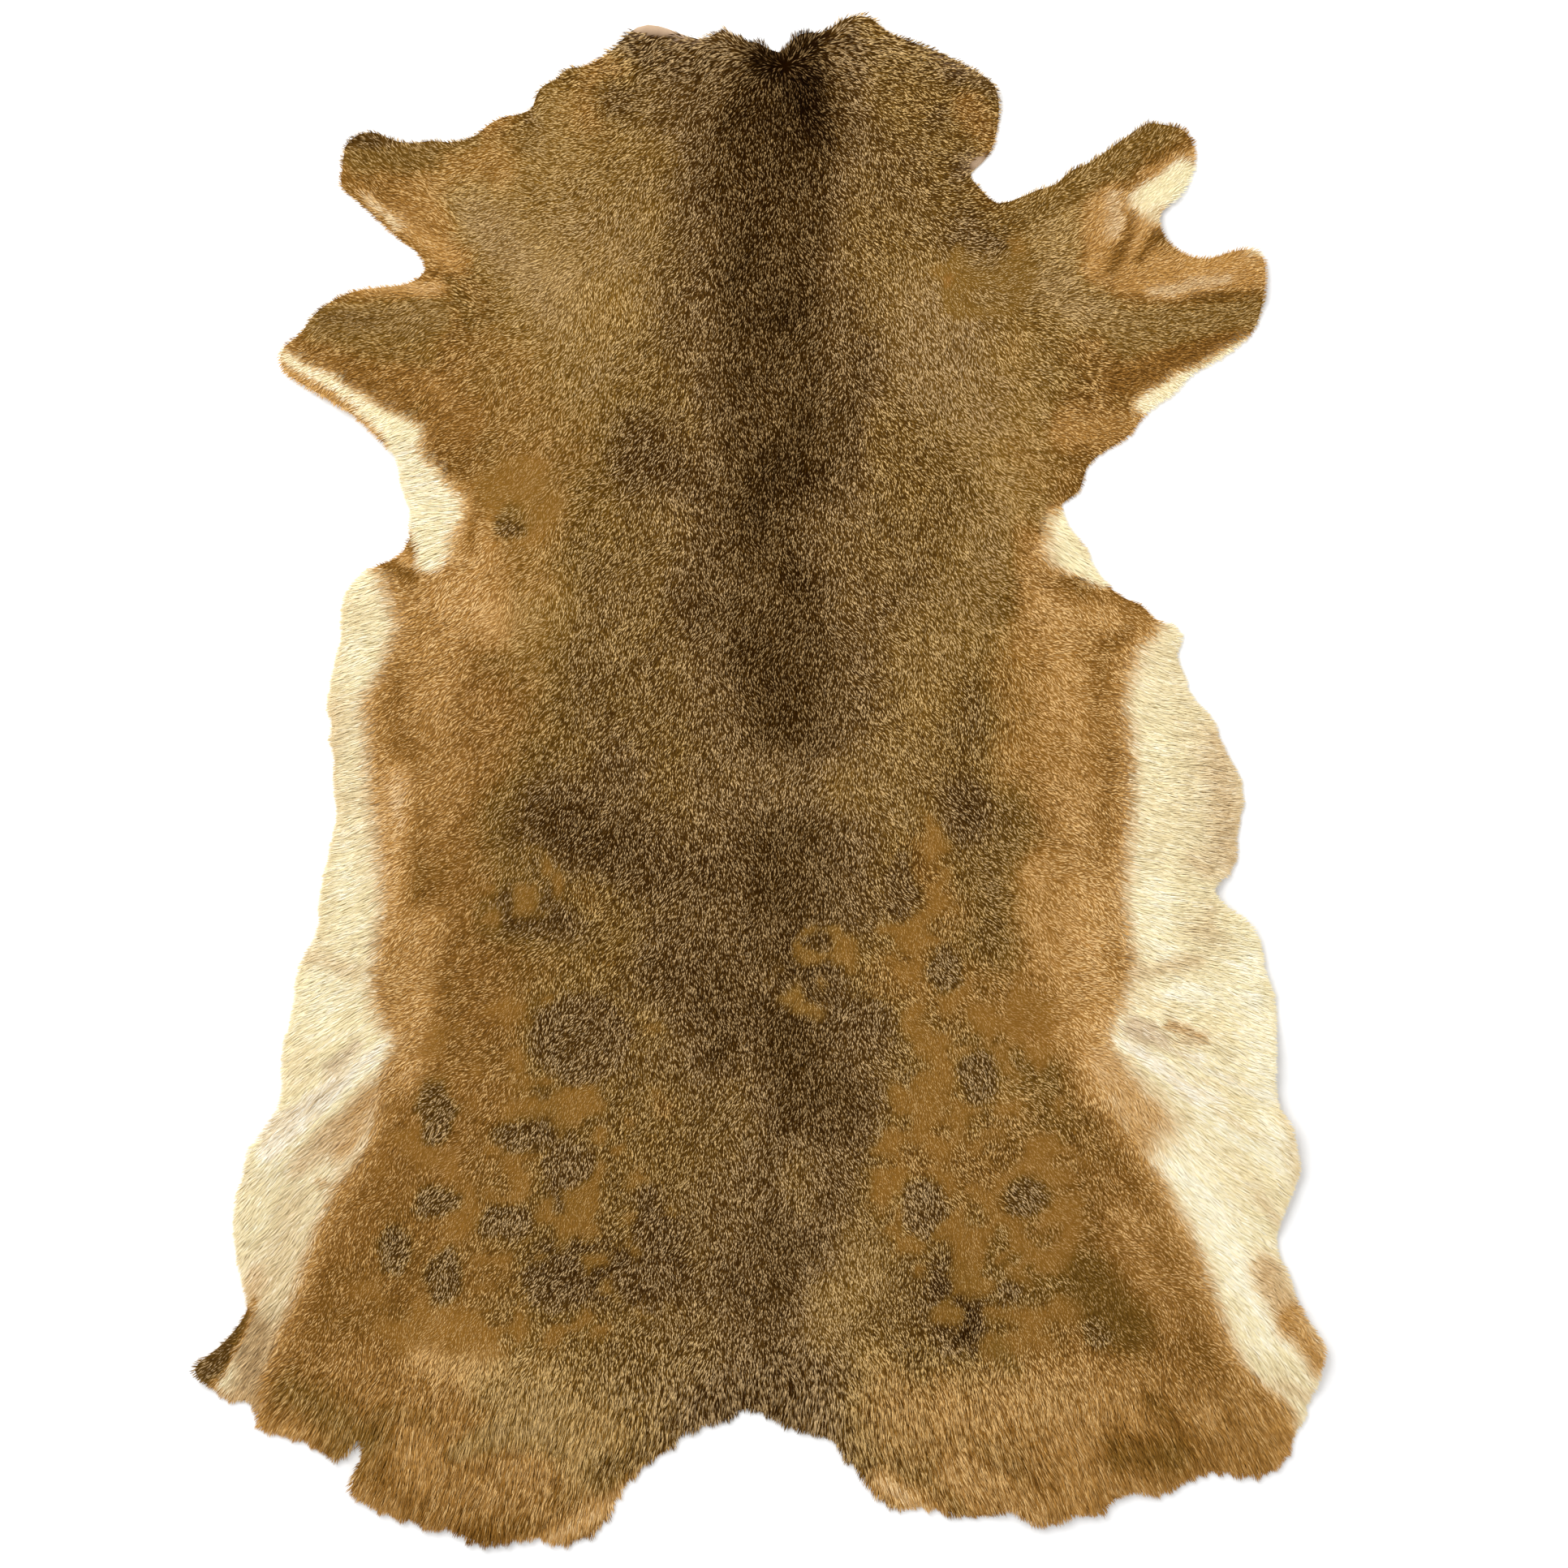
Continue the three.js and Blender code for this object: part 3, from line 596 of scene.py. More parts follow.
# Creases that are finer than the solid's folds. Columns: x0, y0 to x1, y1, half width, height.
CREASES = (
    (290, -192, 396, -206, 9, 3.0),
    (292, -200, 410, -246, 8, 3.5),
    (292, -214, 400, -286, 9, 2.5),
    (-294, -206, -372, -226, 8, 2.5),
    (-296, -216, -392, -270, 8, 3.5),
    (-300, -228, -384, -306, 9, 2.5),
    (300, 450, 276, 402, 7, 2.5),
    (322, 446, 296, 412, 6, 2.0),
    (262, 470, 254, 416, 8, 2.0),
    (-110, 560, -126, 520, 8, 2.0),
    (-142, 560, -132, 528, 7, 2.0),
    (200, 452, 172, 424, 8, 2.0),
    (346, -60, 380, -92, 8, 2.0),
    (386, -330, 420, -360, 10, 2.0),
    (-236, 392, -216, 352, 8, 2.5),
    (-330, 60, -340, 20, 8, 1.5),
    (223, 168, 207, 102, 7, 1.6),
)


def colour(name, description, red, green, blue):
    """A colour setting from its screen values, 0 to 255."""
    linear = to_linear(np.array([red, green, blue]) / 255)
    return FloatVectorProperty(
        name=name, description=description, default=tuple(linear), subtype="COLOR", size=3, min=0, max=1
    )


def length(name, description, millimetres):
    """A length setting, given in millimetres and kept in metres."""
    return FloatProperty(
        name=name, description=description, default=millimetres * MM, min=0, subtype="DISTANCE", unit="LENGTH"
    )


def to_linear(screen):
    """Screen colour to linear: s / 12.92 under 0.04045, else ((s + 0.055) / 1.055) to the power 2.4."""
    return np.where(screen <= 0.04045, screen / 12.92, ((screen + 0.055) / 1.055) ** 2.4)


class HideSizes(bpy.types.PropertyGroup):
    """The sizes of skin and hair."""

    thickness: length("Skin", "Thickness of the tanned skin", 1.6)
    cell: length("Skin cell", "Size of one face of the skin", 8)
    inset: length("Inset", "How far the skin's edge lies inside the hair tips", 2.2)
    spacing: length("Hair spacing", "Distance from one hair root to the next", 1.32)
    hair_width: length("Hair width", "Width of a strand of hair", 0.78)
    back_hair: length("Back hair", "Length of the hair on the back", 4.7)
    belly_hair: length("Belly hair", "Length of the hair on the belly", 13)
    rump_hair: length("Rump hair", "Length of the hair at the rump's edge", 13)
    leg_hair: length("Leg hair", "Length of the hair on the fore legs", 6)
    nape_hair: length("Nape hair", "Length of the hair at the neck's edge", 8.5)
    flat_width: length("Cut width", "Width of the hide laid flat", 911)
    flat_length: length("Cut length", "Length of the hide laid flat", 1230)
    flat_area: FloatProperty(
        name="Cut area", description="Area of the hide laid flat", default=0.82, min=0, unit="AREA"
    )
    seed: IntProperty(name="Seed", description="Start of the random numbers", default=5, min=0)


class CoatColours(bpy.types.PropertyGroup):
    """The nine hair colours, each with the pale tip of its hair, and the bare skin."""

    nape: colour("Nape", "Hair of the nape", 34, 19, 5)
    dorsal: colour("Dorsal", "Hair along the spine", 84, 56, 16)
    grizzle: colour("Grizzle", "Grey-brown hair", 115, 83, 36)
    back: colour("Back", "Hair of the back", 130, 95, 36)
    flank: colour("Flank", "Hair of the flanks", 151, 105, 43)
    tan: colour("Tan", "Orange-brown hair", 196, 147, 78)
    beige: colour("Beige", "Shaded hair of the belly", 226, 199, 152)
    cream: colour("Cream", "Hair of the belly", 247, 235, 191)
    # Rose is the rosy grey of the groins' hair in the painted shade of their folds.
    rose: colour("Rose", "Rosy grey hair of the groins", 216, 188, 152)
    nape_tip: colour("Nape tip", "Tips of the nape's hair", 86, 60, 30)
    dorsal_tip: colour("Dorsal tip", "Tips of the hair along the spine", 170, 140, 94)
    grizzle_tip: colour("Grizzle tip", "Tips of the grey-brown hair", 208, 176, 128)
    back_tip: colour("Back tip", "Tips of the back's hair", 214, 179, 118)
    flank_tip: colour("Flank tip", "Tips of the flanks' hair", 222, 180, 116)
    tan_tip: colour("Tan tip", "Tips of the orange-brown hair", 238, 202, 142)
    beige_tip: colour("Beige tip", "Tips of the shaded belly hair", 248, 232, 198)
    cream_tip: colour("Cream tip", "Tips of the belly's hair", 255, 252, 238)
    # The rose tip is the grey-white of the painted sheen on the groins' folds.
    rose_tip: colour("Rose tip", "Tips of the groins' hair", 246, 238, 220)
    shade: FloatProperty(
        name="Shade",
        description="Share of the colour that is left at a hair's root",
        default=0.2,
        min=0,
        max=1,
        subtype="FACTOR",
    )
    bare_skin: colour("Bare skin", "Skin at the rolled edges of the neck", 206, 176, 146)
    flesh_side: colour("Flesh side", "Suede of the underside", 214, 194, 164)


class StageSettings(bpy.types.PropertyGroup):
    """The floor, the camera and the light."""

    floor_side: length("Floor", "Side of the square floor", 6000)
    floor_drop: length("Floor drop", "How far the floor lies under the hide", 0.3)
    floor: colour("Floor colour", "Plain pale floor", 250, 250, 250)
    focal: FloatProperty(name="Lens", description="Focal length", default=85, min=10, unit="CAMERA")
    sensor: FloatProperty(name="Sensor", description="Width of the sensor", default=36, min=1, unit="CAMERA")
    view_width: length("View width", "What the picture takes in from side to side", 1255.8)
    view_x: length("View x", "How far the picture's middle lies right of the hide's", 21.1)
    view_y: length("View y", "How far the picture's middle lies below the hide's", 2.9)
    key: FloatProperty(name="Key", description="Power of the large light", default=64, min=0, unit="POWER")
    key_width: length("Key width", "Width of the large light", 2200)
    key_place: FloatVectorProperty(
        name="Key place",
        description="Place of the large light",
        default=(-1.1, 1.4, 2.2),
        subtype="TRANSLATION",
        unit="LENGTH",
    )
    sky: FloatProperty(
        name="Sky", description="Strength of the light from all round", default=0.8, min=0, subtype="FACTOR"
    )


class Lattice:
    """A grid of points over the hide, on which its maps are kept. Millimetres."""

    step = 3.0
    margin = 24.0

    def __init__(self, low, high):
        self.x = np.arange(low[0] - self.margin, high[0] + self.margin, self.step)
        self.y = np.arange(low[1] - self.margin, high[1] + self.margin, self.step)
        self.xx, self.yy = np.meshgrid(self.x, self.y)

    def read(self, values, x, y):
        """The map's value at x, y: the mean of the four nearest grid points, weighted by nearness."""
        u = np.clip((x - self.x[0]) / self.step, 0, len(self.x) - 1.001)
        v = np.clip((y - self.y[0]) / self.step, 0, len(self.y) - 1.001)
        i, j = u.astype(int), v.astype(int)
        u, v = u - i, v - j
        low = values[j, i] * (1 - u) + values[j, i + 1] * u
        high = values[j + 1, i] * (1 - u) + values[j + 1, i + 1] * u
        return low * (1 - v) + high * v

    def blur(self, values, spread):
        """The map smoothed by a Gaussian of that spread, by way of its Fourier transform."""
        fx = np.fft.rfftfreq(len(self.x), self.step)
        fy = np.fft.fftfreq(len(self.y), self.step)
        fall = np.exp(-2 * (np.pi * spread) ** 2 * (fx[None, :] ** 2 + fy[:, None] ** 2))
        return np.fft.irfft2(np.fft.rfft2(values) * fall, values.shape)


def smooth(t):
    """Soft step from 0 to 1: 3 t squared less 2 t cubed."""
    t = np.clip(t, 0, 1)
    return t * t * (3 - 2 * t)


def blend(value, goal, share):
    """Value moved that share of the way to goal."""
    return value + (goal - value) * share


def noise(x, y, size, seed):
    """Smooth noise from -1 to 1: random values on a grid of that size, joined by soft steps."""
    table = np.random.default_rng(seed).uniform(-1, 1, (256, 256))
    u, v = x / size + 101.3, y / size + 97.7
    i, j = np.floor(u).astype(int), np.floor(v).astype(int)
    su, sv = smooth(u - i), smooth(v - j)
    i, j = i % 256, j % 256
    i1, j1 = (i + 1) % 256, (j + 1) % 256
    low = table[j, i] * (1 - su) + table[j, i1] * su
    high = table[j1, i] * (1 - su) + table[j1, i1] * su
    return low * (1 - sv) + high * sv


def rough_noise(x, y, size, seed):
    """Three layers of noise, each half as large and a little over half as strong as the one before."""
    return sum(0.55**k * noise(x, y, size / 2**k, seed + k) for k in range(3)) / 1.85


def to_line(x, y, x0, y0, x1, y1):
    """Distance of x, y from the line from x0, y0 to x1, y1, and the share of the way along it."""
    dx, dy = x1 - x0, y1 - y0
    share = np.clip(((x - x0) * dx + (y - y0) * dy) / max(dx * dx + dy * dy, 1e-9), 0, 1)
    return np.hypot(x - x0 - share * dx, y - y0 - share * dy), share


def stroke(x, y, x0, y0, x1, y1, r0, r1, soft):
    """Cover of a painted stroke at x, y: 1 within its half width, which goes from r0 to r1 along its line,
    and 0 outside it, with a soft border centred on it."""
    off, share = to_line(x, y, x0, y0, x1, y1)
    return smooth((r0 + (r1 - r0) * share - off) / soft + 0.5)


def solid_mesh():
    """The hide's solid as points in millimetres and triangles, with its loose corners joined."""
    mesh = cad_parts[NODE].data
    places = np.zeros(len(mesh.vertices) * 3)
    mesh.vertices.foreach_get("co", places)
    mesh.calc_loop_triangles()
    corners = np.zeros(len(mesh.loop_triangles) * 3, int)
    mesh.loop_triangles.foreach_get("vertices", corners)
    points, joined = np.unique(np.round(places.reshape(-1, 3) / MM, 3), axis=0, return_inverse=True)
    return points, joined.reshape(-1)[corners].reshape(-1, 3)


def upward(points, triangles):
    """Twice the area of each triangle as seen from above: over 0 where it looks up, under 0 where down."""
    a, b, c = (points[triangles[:, k]] for k in range(3))
    return (b[:, 0] - a[:, 0]) * (c[:, 1] - a[:, 1]) - (b[:, 1] - a[:, 1]) * (c[:, 0] - a[:, 0])


def height_map(lattice, points, triangles):
    """Height of these triangles over each grid point: the mean of the corners' heights, each weighted by
    the share of the triangle that lies across from it. Grid points off the triangles are left empty."""
    a, b, c = (points[triangles[:, k]] for k in range(3))
    corner = np.array([lattice.x[0], lattice.y[0]])
    low = np.floor((np.minimum(np.minimum(a, b), c)[:, :2] - corner) / lattice.step).astype(int)
    high = np.ceil((np.maximum(np.maximum(a, b), c)[:, :2] - corner) / lattice.step).astype(int)
    wide, tall = (high - low + 1).T
    which = np.repeat(np.arange(len(a)), wide * tall)
    within = np.arange(len(which)) - np.repeat(np.cumsum(wide * tall) - wide * tall, wide * tall)
    i = low[which, 0] + within % wide[which]
    j = low[which, 1] + within // wide[which]
    x, y = corner[0] + i * lattice.step, corner[1] + j * lattice.step
    a, b, c = a[which], b[which], c[which]
    whole = (b[:, 0] - a[:, 0]) * (c[:, 1] - a[:, 1]) - (b[:, 1] - a[:, 1]) * (c[:, 0] - a[:, 0])
    at_a = ((b[:, 0] - x) * (c[:, 1] - y) - (b[:, 1] - y) * (c[:, 0] - x)) / whole
    at_b = ((c[:, 0] - x) * (a[:, 1] - y) - (c[:, 1] - y) * (a[:, 0] - x)) / whole
    at_c = 1 - at_a - at_b
    on = np.minimum(np.minimum(at_a, at_b), at_c) > -1e-6
    heights = np.full(lattice.xx.shape, np.nan)
    heights[j[on], i[on]] = (at_a * a[:, 2] + at_b * b[:, 2] + at_c * c[:, 2])[on]
    return heights


def edge_lines(triangles):
    """The outer edges of these triangles: those that belong to one triangle only."""
    sides = np.sort(triangles[:, [[0, 1], [1, 2], [2, 0]]].reshape(-1, 2), axis=1)
    lines, uses = np.unique(sides, axis=0, return_counts=True)
    return lines[uses == 1]


@functools.cache
def hide_maps():
    """The lattice with the maps that skin and coat share: rim, the distance to the hide's edge, over 0
    inside; skin_rim, the same with the hair locks smoothed away; out_x and out_y, the way to the edge; and
    under, the height of the skin's underside with its fine creases."""
    points, triangles = solid_mesh()
    lattice = Lattice(points.min(0), points.max(0))
    up = upward(points, triangles)
    tiny = 1e-3
    floor_side = height_map(lattice, points, triangles[up < -tiny])
    inside = ~np.isnan(floor_side)
    rim = np.full(lattice.xx.shape, np.inf)
    for start, end in edge_lines(triangles[up > tiny]):
        x0, y0 = points[start][:2]
        x1, y1 = points[end][:2]
        rim = np.minimum(rim, to_line(lattice.xx, lattice.yy, x0, y0, x1, y1)[0])
    rim = np.where(inside, rim, -rim)
    spread = 5.0
    known = np.maximum(lattice.blur(inside.astype(float), spread), 1e-4)
    under = lattice.blur(np.where(inside, floor_side, 0), spread) / known
    for x0, y0, x1, y1, half, high in CREASES:
        far, share = to_line(lattice.xx, lattice.yy, x0, y0, x1, y1)
        under = under + high * np.exp(-((far / half) ** 2)) * np.sin(np.pi * (0.15 + 0.85 * share)) ** 0.5
    skin_rim = lattice.blur(rim, 4.0)
    grad_y, grad_x = np.gradient(lattice.blur(rim, 3.0), lattice.step)
    steep = np.maximum(np.hypot(grad_x, grad_y), 1e-6)
    return {
        "lattice": lattice,
        "rim": rim,
        "skin_rim": skin_rim,
        "out_x": -grad_x / steep,
        "out_y": -grad_y / steep,
        "under": np.maximum(under, 0),
    }


def read(name, x, y):
    """A map's value at x, y."""
    maps = hide_maps()
    return maps["lattice"].read(maps[name], x, y)


def ground(x, y):
    """Height of the skin's hair side at x, y: its underside with its thickness on it."""
    return read("under", x, y) + bpy.context.scene.hide_sizes.thickness / MM


@functools.cache
def flow_maps():
    """The coat's lie over the lattice as two maps, x and y of its heading: the guides' headings, each
    weighted by a bell curve of its distance, and turned outwards in the last few millimetres of the edge."""
    maps = hide_maps()
    xx, yy = maps["lattice"].xx, maps["lattice"].yy
    reach = 36.0
    flow_x, flow_y = np.zeros(xx.shape), np.zeros(xx.shape)
    for x, y, heading in FLOW:
        weight = np.exp(-((xx - x) ** 2 + (yy - y) ** 2) / (2 * reach**2)) + 1e-9
        flow_x += weight * np.cos(np.radians(heading))
        flow_y += weight * np.sin(np.radians(heading))
    size = np.maximum(np.hypot(flow_x, flow_y), 1e-12)
    turn = 1.3 * smooth(1 - maps["rim"] / 9)
    flow_x = flow_x / size + turn * maps["out_x"]
    flow_y = flow_y / size + turn * maps["out_y"]
    size = np.maximum(np.hypot(flow_x, flow_y), 1e-6)
    return flow_x / size, flow_y / size


def streaks(x, y):
    """Noise from about -1 to 1 drawn out along the coat's lie: fine noise summed over points traced up and
    down the lie from x, y."""
    lattice = hide_maps()["lattice"]
    grain, step, steps = 1.5, 2.4, 8
    total = noise(x, y, grain, 131)
    for way in (step, -step):
        along_x, along_y = x, y
        for _ in range(steps):
            flow_x, flow_y = (lattice.read(flow, along_x, along_y) for flow in flow_maps())
            along_x, along_y = along_x + way * flow_x, along_y + way * flow_y
            total = total + noise(along_x, along_y, grain, 131)
    return np.clip(total / (2 * steps + 1) ** 0.5 / 0.8, -1, 1)


def blot(x, y, spots, border):
    """Each oval's share inside it and 0 outside: a point is inside an oval where its distance from the
    middle, in half widths, is under 1. An oval without a share counts as whole."""
    found = np.zeros(x.shape)
    for cx, cy, half_x, half_y, *share in spots:
        far = np.hypot((x - cx) / half_x, (y - cy) / half_y)
        whole = share[0] if share else 1
        found = np.maximum(found, whole * smooth((1 - far) * min(half_x, half_y) / border + 0.5))
    return found


@functools.cache
def coat_maps():
    """The coat's colour number, tone, ticking and wear over the lattice, painted as a fur finisher would:
    the ground colour by its distance from the spine, the broad tones, the belly's cream, the smooth places
    with their islands, then the marks in their order."""
    maps = hide_maps()
    xx, yy = maps["lattice"].xx, maps["lattice"].yy
    wave_x = xx + 7 * rough_noise(xx, yy, 46, 11)
    wave_y = yy + 7 * rough_noise(xx, yy, 46, 17)

    spine = np.array(SPINE)[::-1].T
    belly = np.array(BELLY)[::-1].T
    middle = np.interp(wave_y, spine[0], spine[1])
    stripe = np.interp(wave_y, spine[0], spine[2])
    side_x = xx + 3 * rough_noise(xx, yy, 30, 23)
    left = np.interp(yy, belly[0], belly[1])
    right = np.interp(yy, belly[0], belly[2])
    to_cream = np.minimum(side_x - left, right - side_x) - 5
    in_belly = smooth((belly[0][-1] + 4 - yy) / 8)
    far = np.abs(wave_x - middle)

    hue = np.interp(far / stripe, GROUND_AT, GROUND_HUE)
    hue = blend(hue, FLANK_HUE, 0.9 * smooth((far - FLANK_START) / FLANK_FADE))
    tone = np.full(xx.shape, 0.5)
    tick = np.interp(far, TICK_AT, TICK)
    rump = smooth((-440 - yy) / 90) * smooth((far - 60) / 90)
    hue = hue + rump * 0.7
    tick = tick * (1 - 0.5 * rump)

    for *line, new_hue, new_tone in TONES:
        cover = 0.85 * stroke(wave_x, wave_y, *line)
        hue = blend(hue, new_hue, cover)
        tone = blend(tone, new_tone, cover)
    hue = hue + 0.45 * rough_noise(xx, yy, 52, 31) + 0.25 * rough_noise(xx, yy, 19, 33)
    tone = tone + 0.06 * rough_noise(xx, yy, 44, 37) + 0.05 * rough_noise(xx, yy, 17, 39)

    pale = in_belly * smooth(0.5 - to_cream / 13)
    border = in_belly * smooth(1.15 - np.abs(to_cream - 2) / 20)
    hue = blend(hue, BORDER_HUE, 0.85 * border)
    hue = blend(hue, PALE_HUE + 0.3 * rough_noise(xx, yy, 40, 41), pale)
    tone = blend(tone, PALE_TONE + 0.09 * rough_noise(xx, yy, 26, 43), pale)
    tick = blend(tick, PALE_TICK, pale)

    share = blot(wave_x, wave_y, SMOOTH_PATCHES, 16)
    broken = 0.75 * rough_noise(xx, yy, 26, 53) + 0.6 * noise(xx, yy, 11, 59)
    patch = smooth((broken + 1.1 * (share - 0.5)) / 0.16 + 0.5) * smooth(share / 0.25)
    island = blot(xx + 4 * noise(xx, yy, 12, 61), yy + 4 * noise(xx, yy, 12, 67), ISLANDS, 3)
    patch = patch * (1 - island) * (1 - pale)
    for hair, cover in ((SMOOTH_HAIR, patch), (ISLAND_HAIR, island)):
        new_hue, hue_share, new_tone, tone_share, new_tick = hair
        hue = blend(hue, new_hue, hue_share * cover)
        tone = blend(tone, new_tone, tone_share * cover)
        tick = blend(tick, new_tick, cover)

    near_x = xx + 2.4 * noise(xx, yy, 14, 71)
    near_y = yy + 2.4 * noise(xx, yy, 14, 73)
    for _, *line, new_hue, new_tone, new_tick, weight in MARKS:
        cover = weight * stroke(near_x, near_y, *line)
        hue = blend(hue, new_hue, cover)
        tone = blend(tone, new_tone, cover)
        tick = blend(tick, new_tick, cover)
    return np.clip(hue, 0, COLOURS - 1), np.clip(tone, 0, 1), np.clip(tick, 0, 1.2), patch


@functools.cache
def bare_map():
    """1 where the skin is bare at a rolled edge, 0 elsewhere."""
    maps = hide_maps()
    bare = np.zeros(maps["rim"].shape)
    for x0, y0, x1, y1, half in BARE_EDGES:
        far, _ = to_line(maps["lattice"].xx, maps["lattice"].yy, x0, y0, x1, y1)
        bare = np.maximum(bare, smooth((half - far) / 3 + 0.5))
    return bare


def palette():
    """The hair colours as three arrays: shade at the root, the hair's own colour and its pale tip. The shade
    is the own colour darkened, and tinted by SHADE_TINT to a power that falls with the colour's number."""
    colours = bpy.context.scene.coat_colours
    own = np.array([getattr(colours, name)[:] for name in HAIRS])
    tips = np.array([getattr(colours, name + "_tip")[:] for name in HAIRS])
    number = np.arange(COLOURS)[:, None]
    depth = colours.shade * np.interp(number, SHADE_AT, SHADE_DEPTH)
    return own * depth * SHADE_TINT ** (1 - 0.12 * number), own, tips


def palette_colour(hue, tone):
    """Linear colour of a hair: the colours next to its number mixed, then shade, own colour and tip mixed
    by its tone, with its own colour at one half."""
    stops = np.arange(COLOURS)
    shade, own, tip = (
        np.stack([np.interp(hue, stops, ramp[:, k]) for k in range(3)], axis=-1) for ramp in palette()
    )
    low = np.clip(tone * 2, 0, 1)[..., None]
    high = np.clip(tone * 2 - 1, 0, 1)[..., None]
    return shade + (own - shade) * low + (tip - own) * high


class Nodes:
    """A material's nodes, with short words to add and link them."""

    def __init__(self, name, roughness, specular):
        self.material = bpy.data.materials.new(name)
        self.material.use_nodes = True
        self.tree = self.material.node_tree
        self.shader = self.tree.nodes["Principled BSDF"]
        self.shader.inputs["Roughness"].default_value = roughness
        self.shader.inputs["Specular IOR Level"].default_value = specular

    def add(self, kind, **settings):
        """A new node of that kind with these settings."""
        node = self.tree.nodes.new("ShaderNode" + kind)
        for key, value in settings.items():
            setattr(node, key, value)
        return node

    def link(self, start, end):
        """The output start joined to the input end."""
        self.tree.links.new(start, end)

    def ramp(self, factor, colours):
        """A colour ramp with these colours evenly spread over it, on factor."""
        node = self.add("ValToRGB")
        elements = node.color_ramp.elements
        while len(elements) < len(colours):
            elements.new(0.5)
        for k, linear in enumerate(colours):
            elements[k].position = k / (len(colours) - 1)
            elements[k].color = (*linear, 1)
        self.link(factor, node.inputs[0])
        return node.outputs["Color"]

    def mix(self, factor, first, second):
        """First and second mixed by factor."""
        node = self.add("Mix", data_type="RGBA")
        self.link(factor, node.inputs[0])
        self.link(first, node.inputs[6])
        self.link(second, node.inputs[7])
        return node.outputs[2]

    def part(self, value, low, high):
        """Value mapped to 0 at low and 1 at high, and held there."""
        node = self.add("MapRange", clamp=True)
        self.link(value, node.inputs["Value"])
        node.inputs["From Min"].default_value = low
        node.inputs["From Max"].default_value = high
        return node.outputs["Result"]

    def bump(self, height, strength, distance):
        """A bump of that height map, in metres, under the shader."""
        node = self.add("Bump")
        node.inputs["Strength"].default_value = strength
        node.inputs["Distance"].default_value = distance
        self.link(height, node.inputs["Height"])
        self.link(node.outputs["Normal"], self.shader.inputs["Normal"])


def coat_material():
    """Hair, coloured from the palette by the piece's own map: x is the colour's number, y its tone."""
    made = Nodes("deer_hair", 0.6, 0.015)
    place = made.add("UVMap", uv_map=PALETTE_MAP)
    split = made.add("SeparateXYZ")
    made.link(place.outputs["UV"], split.inputs[0])
    shade, own, tip = (made.ramp(split.outputs["X"], ramp) for ramp in palette())
    low = made.mix(made.part(split.outputs["Y"], 0, 0.5), shade, own)
    full = made.mix(made.part(split.outputs["Y"], 0.5, 1), low, tip)
    made.link(full, made.shader.inputs["Base Color"])
    return made.material


def undercoat_material():
    """The fine wool on the skin's hair side, in the colour kept at each point, which is darker than the hair
    as painted shade of the gaps between hairs, with a fine nap.
    """
    made = Nodes("deer_undercoat", 0.9, 0)
    kept = made.add("Attribute", attribute_name=UNDERCOAT)
    place = made.add("TexCoord")
    nap = made.add("TexNoise")
    nap.inputs["Scale"].default_value = 900
    nap.inputs["Detail"].default_value = 3
    made.link(place.outputs["Object"], nap.inputs["Vector"])
    made.link(kept.outputs["Color"], made.shader.inputs["Base Color"])
    made.bump(nap.outputs["Fac"], 0.5, 0.0008)
    return made.material


def flesh_material():
    """Pale suede: cloudy colour with a fine nap."""
    made = Nodes("deer_suede", 0.95, 0.1)
    place = made.add("TexCoord")
    clouds = made.add("TexNoise")
    clouds.inputs["Scale"].default_value = 7
    clouds.inputs["Detail"].default_value = 5
    nap = made.add("TexNoise")
    nap.inputs["Scale"].default_value = 700
    nap.inputs["Detail"].default_value = 4
    for node in (clouds, nap):
        made.link(place.outputs["Object"], node.inputs["Vector"])
    pale = np.array(bpy.context.scene.coat_colours.flesh_side[:])
    tint = made.ramp(made.part(clouds.outputs["Fac"], 0.3, 0.7), [pale * 0.72, pale, pale * 1.12])
    made.link(tint, made.shader.inputs["Base Color"])
    made.bump(nap.outputs["Fac"], 0.7, 0.0012)
    return made.material


def new_mesh(name, points, corners, sides):
    """A mesh object from points in millimetres and faces that all have the same number of sides."""
    mesh = bpy.data.meshes.new(name)
    mesh.vertices.add(len(points))
    mesh.vertices.foreach_set("co", (points * MM).astype(np.float32).ravel())
    mesh.loops.add(corners.size)
    mesh.loops.foreach_set("vertex_index", corners.astype(np.int32).ravel())
    mesh.polygons.add(corners.size // sides)
    mesh.polygons.foreach_set("loop_start", np.arange(0, corners.size, sides, dtype=np.int32))
    mesh.update(calc_edges=True)
    mesh.validate()
    piece = bpy.data.objects.new(name, mesh)
    bpy.context.scene.collection.objects.link(piece)
    return piece


def settle(piece):
    """The piece rides on the hide's body."""
    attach(piece, BODY)
    return piece


